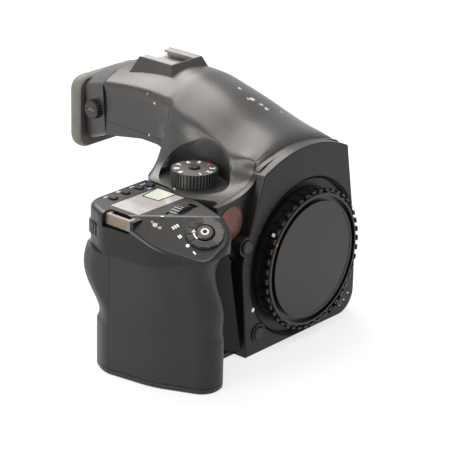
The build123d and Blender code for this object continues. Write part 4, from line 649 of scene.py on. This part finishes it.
def slope_place(x, depth):
    """Point on the slope of the grip's top."""
    mx, md, mz = SLOPE_MIDDLE
    n = SLOPE_NORMAL
    return (x, depth, mz - (n.x * (x - mx) + n.y * (depth - md)) / n.z)


# Mode dial: numbers round its top, one of them red
DIAL_MARK_RADIUS = 8.7
DIAL_MARKS = 9
RED_MARK = 4
DIAL_MARK_START, DIAL_MARK_SWEEP = -120, 330
DIAL_LETTER = 3.8
for number in range(DIAL_MARKS):
    turn = math.radians(DIAL_MARK_START + DIAL_MARK_SWEEP / DIAL_MARKS * number)
    outward = Vector((math.cos(turn), math.sin(turn), 0))
    spot = (DIAL[0] + outward.x * DIAL_MARK_RADIUS, DIAL[1] + outward.y * DIAL_MARK_RADIUS,
            DIAL[2] + PAINT / 2)
    ink = RED if number + 1 == RED_MARK else WHITE
    dial_axes = axes(spot, (0, 0, 1), outward)
    lettering(f"dial_number_{number + 1}", str(number + 1), DIAL_LETTER, dial_axes, ink, "mode_wheel")

# Prints on the deck and the grip's top, a white diamond that paints a glint beside the front wheel, and the
# caps of the small buttons
deck_marks = (
    ("dial_index", (-57.4, 37.3, DECK_Z), round_outline(0.55), WHITE),
    ("blue_mark", (-64.6, 47.4, SHOULDER_Z), bar_outline(2.4, 0.7), BLUE),
    # Painted highlight: this white diamond stands for a small glint beside the front wheel, not a print.
    ("wheel_glint", (-87.6, 17.4, SHOULDER_Z), [(0.9, 0), (0, 0.9), (-0.9, 0), (0, -0.9)], WHITE),
)
for name, spot, outline, ink in deck_marks:
    printed_mark(name, spot, LYING, outline, ink)
arc_plaque("sync_mark", axes((-46.5, 16.4, DECK_Z), *LYING), 0.6, 1.0, 0, 359, PAINT, WHITE, "root",
           sink=PRINT_SINK, steps=24)
info_marks = (
    [bar_outline(2.6, 0.55)],
    [bar_outline(2.2, 0.45, y=0.5), bar_outline(2.2, 0.45, y=-0.5)],
    [bar_outline(1.6, 0.5, x=-0.6), bar_outline(0.6, 0.6, x=1.0)],
    [bar_outline(0.6, 0.6, x=-1.2), bar_outline(0.6, 0.6), bar_outline(0.6, 0.6, x=1.2)],
)
INFO_MARK_ASIDE, INFO_MARK_BEHIND = 1.6, 3.7      # from the middle of the button
INFO_CAP_RISE, INFO_CAP_RADIUS = 0.85, 1.6
for number, outlines in enumerate(info_marks, start=1):
    low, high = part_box(f"info_button_{number}")
    button_x = (low.x + high.x) / 2 / MM
    button_depth = (low.y + high.y) / 2 / MM - PLATE_Y
    spot = (button_x - INFO_MARK_ASIDE, button_depth + INFO_MARK_BEHIND, SHOULDER_Z)
    for part, outline in enumerate(outlines):
        printed_mark(f"info_mark_{number}_{part}", spot, LYING, outline, WHITE)
    cap_axes = axes((button_x, button_depth, SHOULDER_Z + INFO_CAP_RISE), *LYING)
    plaque(f"info_cap_{number}", cap_axes, round_outline(INFO_CAP_RADIUS), 0.22, BUTTON, f"info_{number}",
           bevel=0.5)

# Drive ring: glossy segments, open towards the body, the silver lever inside it and the marks beside it
RING_TOP = 1.2
RING_OVERLAP = 0.1         # how far a piece on the ring goes into it
RING_INNER, RING_OUTER = 5.7, 8.8
SEGMENTS = 7
SEGMENT_START, SEGMENT_PITCH, SEGMENT_SWEEP = 62, 31, 27
ring_axes = axes(SLOPE_MIDDLE, *ON_SLOPE)
for number in range(SEGMENTS):
    arc_plaque(f"ring_segment_{number + 1}", ring_axes, RING_INNER, RING_OUTER,
               SEGMENT_START + SEGMENT_PITCH * number, SEGMENT_SWEEP, RING_TOP + 0.45, SEGMENT, "drive_ring",
               sink=RING_OVERLAP - RING_TOP, steps=6)
arc_plaque("ring_lever", ring_axes, 4.7, RING_INNER, 130, 62, RING_TOP + 0.5, WORN, "drive_ring",
           sink=RING_OVERLAP - RING_TOP)
plaque("ring_lever_tab", axes(slope_place(-83.4, 0.9), SLOPE_NORMAL, (-0.6, 0.8, 0)),
       bar_outline(1.6, 3.0, corner=0.5), RING_TOP + 0.9, WORN, "drive_ring", sink=-RING_TOP, bevel=0.4)
drive_marks = (
    ((-86.8, 9.6), [bar_outline(0.7, 1.9, x=-1.3), bar_outline(0.7, 1.9), bar_outline(0.7, 1.9, x=1.3)]),
    ((-88.9, 4.8), [bar_outline(0.6, 1.9, x=-0.5), bar_outline(0.6, 1.9, x=0.5)]),
    ((-89.6, -0.9), [round_outline(0.95, 12)]),
    ((-90.0, -5.6), [bar_outline(0.7, 2.1)]),
)
for number, (spot, outlines) in enumerate(drive_marks, start=1):
    for part, outline in enumerate(outlines):
        printed_mark(f"drive_mark_{number}_{part}", slope_place(*spot), ON_SLOPE, outline, WHITE)

# Front: mounting index, focus marks, the cap's red dot, and a white piece that paints a glint on the cap's
# edge
FOCUS_MARKS = ((31.4, 5.2), (35.2, 7.4), (38.4, 10.4))      # x, height
LEANING = ((0, -1, 0), (0.3, 0, 1))
plaque("mount_index", axes((-39.1, 0.0, 25.2), *FORWARD), round_outline(1.15), 0.12, WHITE, "root")
for number, (x, z) in enumerate(FOCUS_MARKS, start=1):
    printed_mark(f"focus_mark_{number}", (x, 0.0, z), LEANING, bar_outline(1.5, 0.6), WHITE)
plaque("cap_index", axes((-29.9, -6.5, 59.1), *FORWARD), round_outline(0.65), 0.15, RED, "cap")
# Painted highlight: this white piece stands for a glint on the cap's edge, not a mark.
plaque("cap_edge_glint", axes((-28.3, -3.4, 62.8), (-0.81, 0, 0.58), (0, 1, 0)), bar_outline(1.8, 1.5), 1.7,
       WHITE, "cap")

# Body cap: teeth round its edge
TEETH, TOOTH_SHARE = 44, 0.55
TOOTH_FOOT, TOOTH_TIP = 35.9, 37.0         # radii
TOOTH_FRONT, TOOTH_BACK = -6.3, -4.0       # depths
TOOTH_INSET = 0.25                         # how much smaller the tip is on each side
TOOTH_FACES = ((0, 1, 3, 2), (4, 6, 7, 5), (0, 4, 5, 1), (2, 3, 7, 6), (0, 2, 6, 4), (1, 5, 7, 3))
tooth_points, tooth_faces = [], []
for tooth in range(TEETH):
    start = len(tooth_points)
    for turn, aside in ((tooth, 1), (tooth + TOOTH_SHARE, -1)):
        for radius, inset in ((TOOTH_FOOT, 0.0), (TOOTH_TIP, TOOTH_INSET)):
            angle = math.tau * turn / TEETH + inset / radius * aside
            x, z = radius * math.cos(angle), LENS_Z + radius * math.sin(angle)
            tooth_points += [at(x, TOOTH_FRONT + inset, z), at(x, TOOTH_BACK - inset, z)]
    tooth_faces += [tuple(start + index for index in face) for face in TOOTH_FACES]
piece("cap_teeth", tooth_points, tooth_faces, CAP, "cap")

# Collar of the lens release and dark rim of the lamp window
arc_plaque("lens_release_collar", axes(LENS_RELEASE, *FORWARD), 3.75, 4.9, 0, FULL_RING, 0.6, BODY, "root",
           sink=0.2, steps=40)
arc_plaque("lamp_rim", axes(LAMP_MIDDLE, *FORWARD), 8.55, 9.1, 0, FULL_RING, 0.18, BUTTON, "root",
           sink=0.2, steps=48)

# Display: pale active area in a dark frame line
DISPLAY_CORNERS = ((-73.2, 33.4), (-60.2, 33.2), (-61.8, 44.6), (-73.8, 42.6))
LINE_WIDTH, LINE_OVERRUN = 0.9, 0.3
window_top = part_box("display_window")[1].z / MM
display_axes = axes((0.0, 0.0, window_top), *LYING)
plaque("display_area", display_axes, DISPLAY_CORNERS, 0.05, ACTIVE, "root", sink=PRINT_SINK)
line_ends = zip(DISPLAY_CORNERS, DISPLAY_CORNERS[1:] + DISPLAY_CORNERS[:1])
for number, (start, end) in enumerate(line_ends, start=1):
    along = (Vector(end) - Vector(start)).normalized()
    aside = Vector((along.y, -along.x)) * LINE_WIDTH
    a, b = Vector(start) - along * LINE_OVERRUN, Vector(end) + along * LINE_OVERRUN
    plaque(f"display_line_{number}", display_axes, [a + aside, b + aside, b, a], 0.06, BUTTON, "root",
           sink=PRINT_SINK)

# Diopter knob: pointed ridge across its face
knob_face = axes((DIOPTER_FACE_X, *DIOPTER[1:]), (-1, 0, 0), (0, 0, 1))
ridge_points = (            # along the ridge, across it, out of the face
    (-4.6, 0.0, -0.2), (0.0, -1.5, -0.2), (4.6, 0.0, -0.2), (0.0, 1.5, -0.2),
    (-2.4, 0.0, 1.5), (2.4, 0.0, 1.5),
)
ridge_faces = [(0, 1, 4), (4, 1, 5), (5, 1, 2), (5, 2, 3), (4, 5, 3), (4, 3, 0), (0, 3, 2, 1)]
piece("diopter_ridge", [on_axes(knob_face, *point) for point in ridge_points], ridge_faces, BUTTON, "diopter")


# Hood: skins over the CAD surface, along the sharp edge on both sides and in the left flank's crease
RIDGE_STATIONS = (          # depth, half width, height of the edge
    (8.0, 31.5, 96.0), (22.0, 31.0, 98.5), (38.0, 29.8, 103.5), (52.0, 28.4, 108.5), (60.0, 27.8, 111.0),
    (65.9, 27.3, 113.0), (73.0, 27.0, 114.6), (85.6, 26.5, 115.2), (102.2, 25.5, 114.3), (118.8, 24.8, 112.5),
)
RIDGE_ABOVE, RIDGE_BELOW = 13.0, 11.0    # how far the ridge's slopes reach up and down, in millimetres
RIDGE_STEPS = 18                         # columns on each slope
RIDGE_COLUMNS = 2 * RIDGE_STEPS + 1
RIDGE_SPOTS = [
    step / RIDGE_STEPS * (RIDGE_ABOVE if step < 0 else RIDGE_BELOW)
    for step in range(-RIDGE_STEPS, RIDGE_STEPS + 1)
]
RIDGE_START, RIDGE_END = 10.0, 118.5
ROW_STEP = 1.1
CAST_HEIGHT = 25.0                       # from where the surface under the edge is looked for
NO_SURFACE = -3.0                        # height where none is found
STEEPEST = 2.2                           # fall between two columns that ends the lower slope
STOP_SHORT, LEAST_BELOW = 1.4, 2.5       # of that fall, and the lower slope's least length
EDGE_GAP = 0.4                           # how far the ridge stays under the edge of the stations
LEAST_RISE, MOST_RISE = 0.6, 3.4
FADE_IN = 14.0                           # length over which the ridge grows at the plate
ROUNDING, SHARPNESS = 0.006, 1.7         # of the ridge's top and slopes
SKIN = 0.07                              # how far the edges of an added skin lie under the surface
SKIN_THICKNESS = 0.8
CAST_X = -95.0                           # from where the left flank is looked for
CREASE_STEP = 0.8


def between(stations, depth):
    """Values at a depth, on straight lines between stations."""
    for low, high in zip(stations, stations[1:]):
        if depth <= high[0]:
            share = (depth - low[0]) / (high[0] - low[0])
            return tuple(a + (b - a) * share for a, b in zip(low[1:], high[1:]))
    return stations[-1][1:]


def surface_of(name):
    """Search tree over a node's mesh."""
    mesh = nodes[name].data
    vertices = [vertex.co.copy() for vertex in mesh.vertices]
    return BVHTree.FromPolygons(vertices, [list(face.vertices) for face in mesh.polygons])


def eased(share):
    """0 to 1 with a soft start and end."""
    share = min(max(share, 0.0), 1.0)
    return share * share * (3 - 2 * share)


def around(values, index, reach):
    """The values up to so many places before and after one."""
    return values[max(index - reach, 0):index + reach + 1]


def mean(values):
    return sum(values) / len(values)


def grid_skin(name, top, under, columns, flipped):
    """Closed smooth skin between two grids of points with this many columns."""
    rows = len(top) // columns
    faces = []
    for k in range(rows - 1):
        for j in range(columns - 1):
            corner = k * columns + j
            quad = (corner, corner + 1, corner + columns + 1, corner + columns)
            faces.append(quad)
            faces.append(tuple(len(top) + index for index in reversed(quad)))
    border = list(range(columns))
    border += [k * columns + columns - 1 for k in range(1, rows)]
    border += [(rows - 1) * columns + j for j in range(columns - 2, -1, -1)]
    border += [k * columns for k in range(rows - 2, 0, -1)]
    for first, second in zip(border, border[1:] + border[:1]):
        faces.append((second, first, len(top) + first, len(top) + second))
    if flipped:
        faces = [tuple(reversed(face)) for face in faces]
    return piece(name, top + under, faces, LIGHTENED_HOOD, "root", smooth=True)


def ridge_row(tree, depth, side):
    """At one depth: the edge, out and down from it, the surface's heights, and the lower slope's length."""
    half, edge_height = between(RIDGE_STATIONS, depth)
    edge = at(side * half, depth, edge_height)
    out = Vector((side * 0.6, 0, 0.8))
    down = Vector((side * 0.8, 0, -0.6))
    heights = []
    below = RIDGE_BELOW
    last = NO_SURFACE
    for along in RIDGE_SPOTS:
        start = edge + (down * along + out * CAST_HEIGHT) * MM
        hit = tree.ray_cast(start, -out)[0]
        height = None if hit is None else CAST_HEIGHT - (hit - start).length / MM
        falls = height is None or height < last - STEEPEST
        if along > 0 and below == RIDGE_BELOW and falls:
            below = max(along - STOP_SHORT, LEAST_BELOW)
        if below < RIDGE_BELOW or height is None:
            height = last
        heights.append(height)
        last = height
    return edge, out, down, heights, below


def ridge_skin(name, tree, side):
    """Skin that lifts the surface to a narrow ridge along the edge."""
    count = int((RIDGE_END - RIDGE_START) / ROW_STEP)
    depths = [RIDGE_START + (RIDGE_END - RIDGE_START) * k / count for k in range(count + 1)]
    rows = [ridge_row(tree, depth, side) for depth in depths]
    belows = [row[4] for row in rows]
    belows = [min(around(belows, k, 2)) for k in range(count + 1)]
    belows = [mean(around(belows, k, 3)) for k in range(count + 1)]
    field = [row[3] for row in rows]
    for _ in range(3):
        field = [
            [(before + after + 2 * here) / 4
             for before, after, here in zip(field[max(k - 1, 0)], field[min(k + 1, count)], field[k])]
            for k in range(count + 1)
        ]
    top, under = [], []
    for k, (edge, out, down, _, _) in enumerate(rows):
        heights = field[k]
        rise = min(max(-EDGE_GAP - heights[RIDGE_STEPS], LEAST_RISE), MOST_RISE)
        rise = rise * eased((k + 1) * ROW_STEP / FADE_IN)
        for along in RIDGE_SPOTS:
            reach = RIDGE_ABOVE if along < 0 else belows[k]
            place = along if along < 0 else along * belows[k] / RIDGE_BELOW
            index = (place / RIDGE_ABOVE if place < 0 else place / RIDGE_BELOW) * RIDGE_STEPS + RIDGE_STEPS
            low = min(int(index), RIDGE_COLUMNS - 2)
            base = heights[low] + (heights[low + 1] - heights[low]) * (index - low)
            share = abs(place) / reach
            lift = rise * max(0.0, 1 - math.sqrt(share * share + ROUNDING)) ** SHARPNESS
            point = edge + (down * place + out * (base + lift - SKIN)) * MM
            top.append(point)
            under.append(point - out * SKIN_THICKNESS * MM)
    return grid_skin(name, top, under, RIDGE_COLUMNS, flipped=side > 0)


def crease_skin(name, tree, start, end, low, high, blur, passes):
    """Skin that fills the hollow line where the finder's side runs into the hood's left flank."""
    columns, rows = round((end - start) / CREASE_STEP), round((high - low) / CREASE_STEP)
    depths = [start + (end - start) * j / columns for j in range(columns + 1)]
    heights = [low + (high - low) * k / rows for k in range(rows + 1)]
    field = []
    for z in heights:
        line = []
        for depth in depths:
            origin = at(CAST_X, depth, z)
            hit = tree.ray_cast(origin, Vector((1, 0, 0)))[0]
            line.append(-CAST_X if hit is None else (hit - origin).length / MM)
        field.append(line)
    soft = field
    for _ in range(passes):
        soft = [[mean(around(line, j, blur)) for j in range(columns + 1)] for line in soft]
    top, under = [], []
    for k, z in enumerate(heights):
        for j, depth in enumerate(depths):
            from_rim = min(j, columns - j, k, rows - k)
            fill = max(field[k][j] - soft[k][j], 0.0) * eased(from_rim / (2.5 * blur))
            reach = field[k][j] - fill + SKIN
            place = at(CAST_X + reach, depth, z)
            top.append(place)
            under.append(place + Vector((SKIN_THICKNESS * MM, 0, 0)))
    return grid_skin(name, top, under, columns + 1, flipped=True)


hood_surface = surface_of("top_cover")
crease_skin("flank_blend", hood_surface, start=56.0, end=96.0, low=87.0, high=108.0, blur=6, passes=3)
ridge_skin("hood_ridge_left", hood_surface, side=-1)
ridge_skin("hood_ridge_right", hood_surface, side=1)

# Eyecup: a soft rounded frame round the eyepiece
CUP_HALF, CUP_LOW, CUP_HIGH = 25.2, 72.2, 111.6
CUP_FRONT, CUP_BACK = 135.6, 143.6
CUP_CORNER, CUP_WINDOW_CORNER = 7.0, 3.0
CUP_WINDOW_HALF, CUP_WINDOW_LOW, CUP_WINDOW_HIGH = 15.0, 81.0, 102.0
CUP_SECTION = (             # share from the outside to the window, depth
    (0.10, CUP_FRONT), (0.0, CUP_FRONT + 1.2), (-0.02, CUP_FRONT + 3.6), (0.02, CUP_FRONT + 6.0),
    (0.12, CUP_BACK - 0.5), (0.30, CUP_BACK), (0.70, CUP_BACK - 0.3), (0.9, CUP_BACK - 1.0),
    (1.0, CUP_BACK - 2.4), (1.02, CUP_FRONT + 2.0), (0.98, CUP_FRONT),
)


def rounded_outline(half_width, low, high, radius, steps=7):
    """Rectangle with round corners, anticlockwise, in millimetres."""
    radius = min(radius, half_width, (high - low) / 2)
    corners = ((half_width - radius, low + radius, -90), (half_width - radius, high - radius, 0),
               (-half_width + radius, high - radius, 90), (-half_width + radius, low + radius, 180))
    outline = []
    for x, z, start in corners:
        for step in range(steps + 1):
            angle = math.radians(start + 90 * step / steps)
            outline.append((x + radius * math.cos(angle), z + radius * math.sin(angle)))
    return outline


def eyecup_ring(share, depth):
    """Ring of points at a share of the way from the cup's outside to its window."""
    half = CUP_HALF + (CUP_WINDOW_HALF - CUP_HALF) * share
    low = CUP_LOW + (CUP_WINDOW_LOW - CUP_LOW) * share
    high = CUP_HIGH + (CUP_WINDOW_HIGH - CUP_HIGH) * share
    corner = CUP_CORNER + (CUP_WINDOW_CORNER - CUP_CORNER) * share
    return [at(x, depth, z) for x, z in rounded_outline(half, low, high, corner)]


cup_rings = [eyecup_ring(share, depth) for share, depth in CUP_SECTION]
cup = stacked("eyecup_soft_frame", cup_rings + cup_rings[:1], CUP_DUST_AND_SHEEN, "root", closed_ends=False, smooth=True)
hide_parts("eyecup")


def cross_screw(name, place, facing, radius):
    """Small cross-head screw."""
    head = axes(place, *facing)
    long, short = radius * 1.1, radius * 0.26
    plaque(name, head, round_outline(radius, 20), 0.28, SCREW, "root", bevel=0.6)
    for part, (width, height) in enumerate(((long, short), (short, long))):
        slot = bar_outline(width, height, corner=0.05)
        plaque(f"{name}_slot_{part}", head, slot, 0.30, RECESS, "root", sink=0.0)


# Back and side: screws, and the door's finger lip and marks
BACK_SCREWS = ((-50, 8), (-50, 62), (43, 8), (39, 70), (-20, 73), (24, 73))     # x, height
SIDE_SCREWS = ((14.0, 18.0), (55.5, 18.0), (55.5, 57.0))                        # depth, height
DOOR_MARKS = (28.0, 36.0, 44.0)                                                 # heights
for number, (x, z) in enumerate(BACK_SCREWS, start=1):
    cross_screw(f"back_screw_{number}", (x, BACK_DEPTH, z), BACKWARD, 1.5)
for number, (depth, z) in enumerate(SIDE_SCREWS, start=1):
    cross_screw(f"side_screw_{number}", (SIDE_SCREW_X, depth, z), SIDEWAYS, 1.3)
plaque("door_lip", axes((DOOR_X, 43.2, 36.0), *SIDEWAYS), bar_outline(1.4, 9.0, corner=0.5), 0.2, BODY,
       "door", bevel=0.5)
for number, z in enumerate(DOOR_MARKS, start=1):
    dot = round_outline(0.8 + 0.3 * (number % 2), 16)
    printed_mark(f"door_mark_{number}", (DOOR_X, 34.0, z), SIDEWAYS, dot, WHITE, "door")


# Light, floor and camera
def soft_lamp(name, place, aim, width, power):
    """Large square softbox that looks at a point."""
    lamp = bpy.data.lights.new(name, "AREA")
    lamp.size = width
    lamp.energy = power
    lamp.color = LAMP_COLOUR
    holder = bpy.data.objects.new(name, lamp)
    bpy.context.scene.collection.objects.link(holder)
    holder.location = place
    holder.rotation_mode = "QUATERNION"
    holder.rotation_quaternion = (Vector(place) - Vector(aim)).to_track_quat("Z", "Y")


def pale_world():
    """Even white surround: plain white for the camera and in gloss and glass, soft grey as light."""
    world = bpy.data.worlds.new("studio")
    bpy.context.scene.world = world
    world.use_nodes = True
    shader = Shader(world.node_tree)
    seen = shader.seen_ray("Camera", "Transmission", "Glossy")
    level = shader.node("MapRange", {}, {"Value": seen, "To Min": SURROUND_LIGHT, "To Max": 1.0})
    background = world.node_tree.nodes["Background"]
    shader.feed(background.inputs["Strength"], level)
    shader.feed(background.inputs["Color"], (1.0, 1.0, 1.0, 1.0))


def pale_floor():
    """White floor that keeps the camera's shadow and ends in the white of the surround."""
    finish = Finish("white_floor", Base_Color=(0.82, 0.81, 0.80, 1.0), Roughness=0.8)
    glow = finish.node("Emission", {}, {})
    own_white = finish.seen_ray("Camera", "Glossy") * FLOOR_GLOW
    share = finish.node("MixShader", {}, {0: own_white, 1: Wire(finish, finish.surface.outputs[0]), 2: glow})
    finish.feed(finish.tree.nodes["Material Output"].inputs["Surface"], share)
    mesh = bpy.data.meshes.new("floor")
    corners = [(-FLOOR_REACH, -FLOOR_REACH, 0), (FLOOR_REACH, -FLOOR_REACH, 0),
               (FLOOR_REACH, FLOOR_REACH, 0), (-FLOOR_REACH, FLOOR_REACH, 0)]
    mesh.from_pydata(corners, [], [(0, 1, 2, 3)])
    mesh.materials.append(finish.material)
    floor = bpy.data.objects.new("floor", mesh)
    bpy.context.scene.collection.objects.link(floor)
    floor.location.z = cad_box[0].z


def photo_camera():
    """Camera at the photograph's angle, distance and slight roll."""
    azimuth, elevation, roll = math.radians(-49.29), math.radians(21.7), math.radians(1.45)
    target = Vector((-0.00977, 0.015, 0.04978))
    distance = 1.03285
    back = Vector((
        math.sin(azimuth) * math.cos(elevation),
        -math.cos(azimuth) * math.cos(elevation),
        math.sin(elevation),
    ))
    level_right = Vector((0, 0, 1)).cross(back).normalized()
    level_up = back.cross(level_right)
    right = level_right * math.cos(roll) + level_up * math.sin(roll)
    up = level_up * math.cos(roll) - level_right * math.sin(roll)
    lens = bpy.data.cameras.new("photo_camera")
    lens.lens = 160.0
    lens.sensor_width = 36.0
    lens.clip_start = 0.05
    holder = bpy.data.objects.new("photo_camera", lens)
    bpy.context.scene.collection.objects.link(holder)
    holder.matrix_world = Matrix.Translation(target + back * distance) @ Matrix((
        (right.x, up.x, back.x, 0), (right.y, up.y, back.y, 0), (right.z, up.z, back.z, 0), (0, 0, 0, 1),
    ))
    bpy.context.scene.camera = holder


photo_camera()
pale_world()
pale_floor()
soft_lamp("key_softbox", (0.20, 0.70, 1.10), aim=(0.0, 0.03, 0.06), width=1.1, power=27.0)
soft_lamp("front_softbox", (-0.25, -0.45, 1.45), aim=(0.0, 0.0, 0.05), width=0.7, power=9.0)
soft_lamp("grip_softbox", (-1.25, 0.25, 0.45), aim=(-0.05, 0.0, 0.05), width=0.8, power=13.0)
bpy.context.scene.view_settings.view_transform = "Standard"
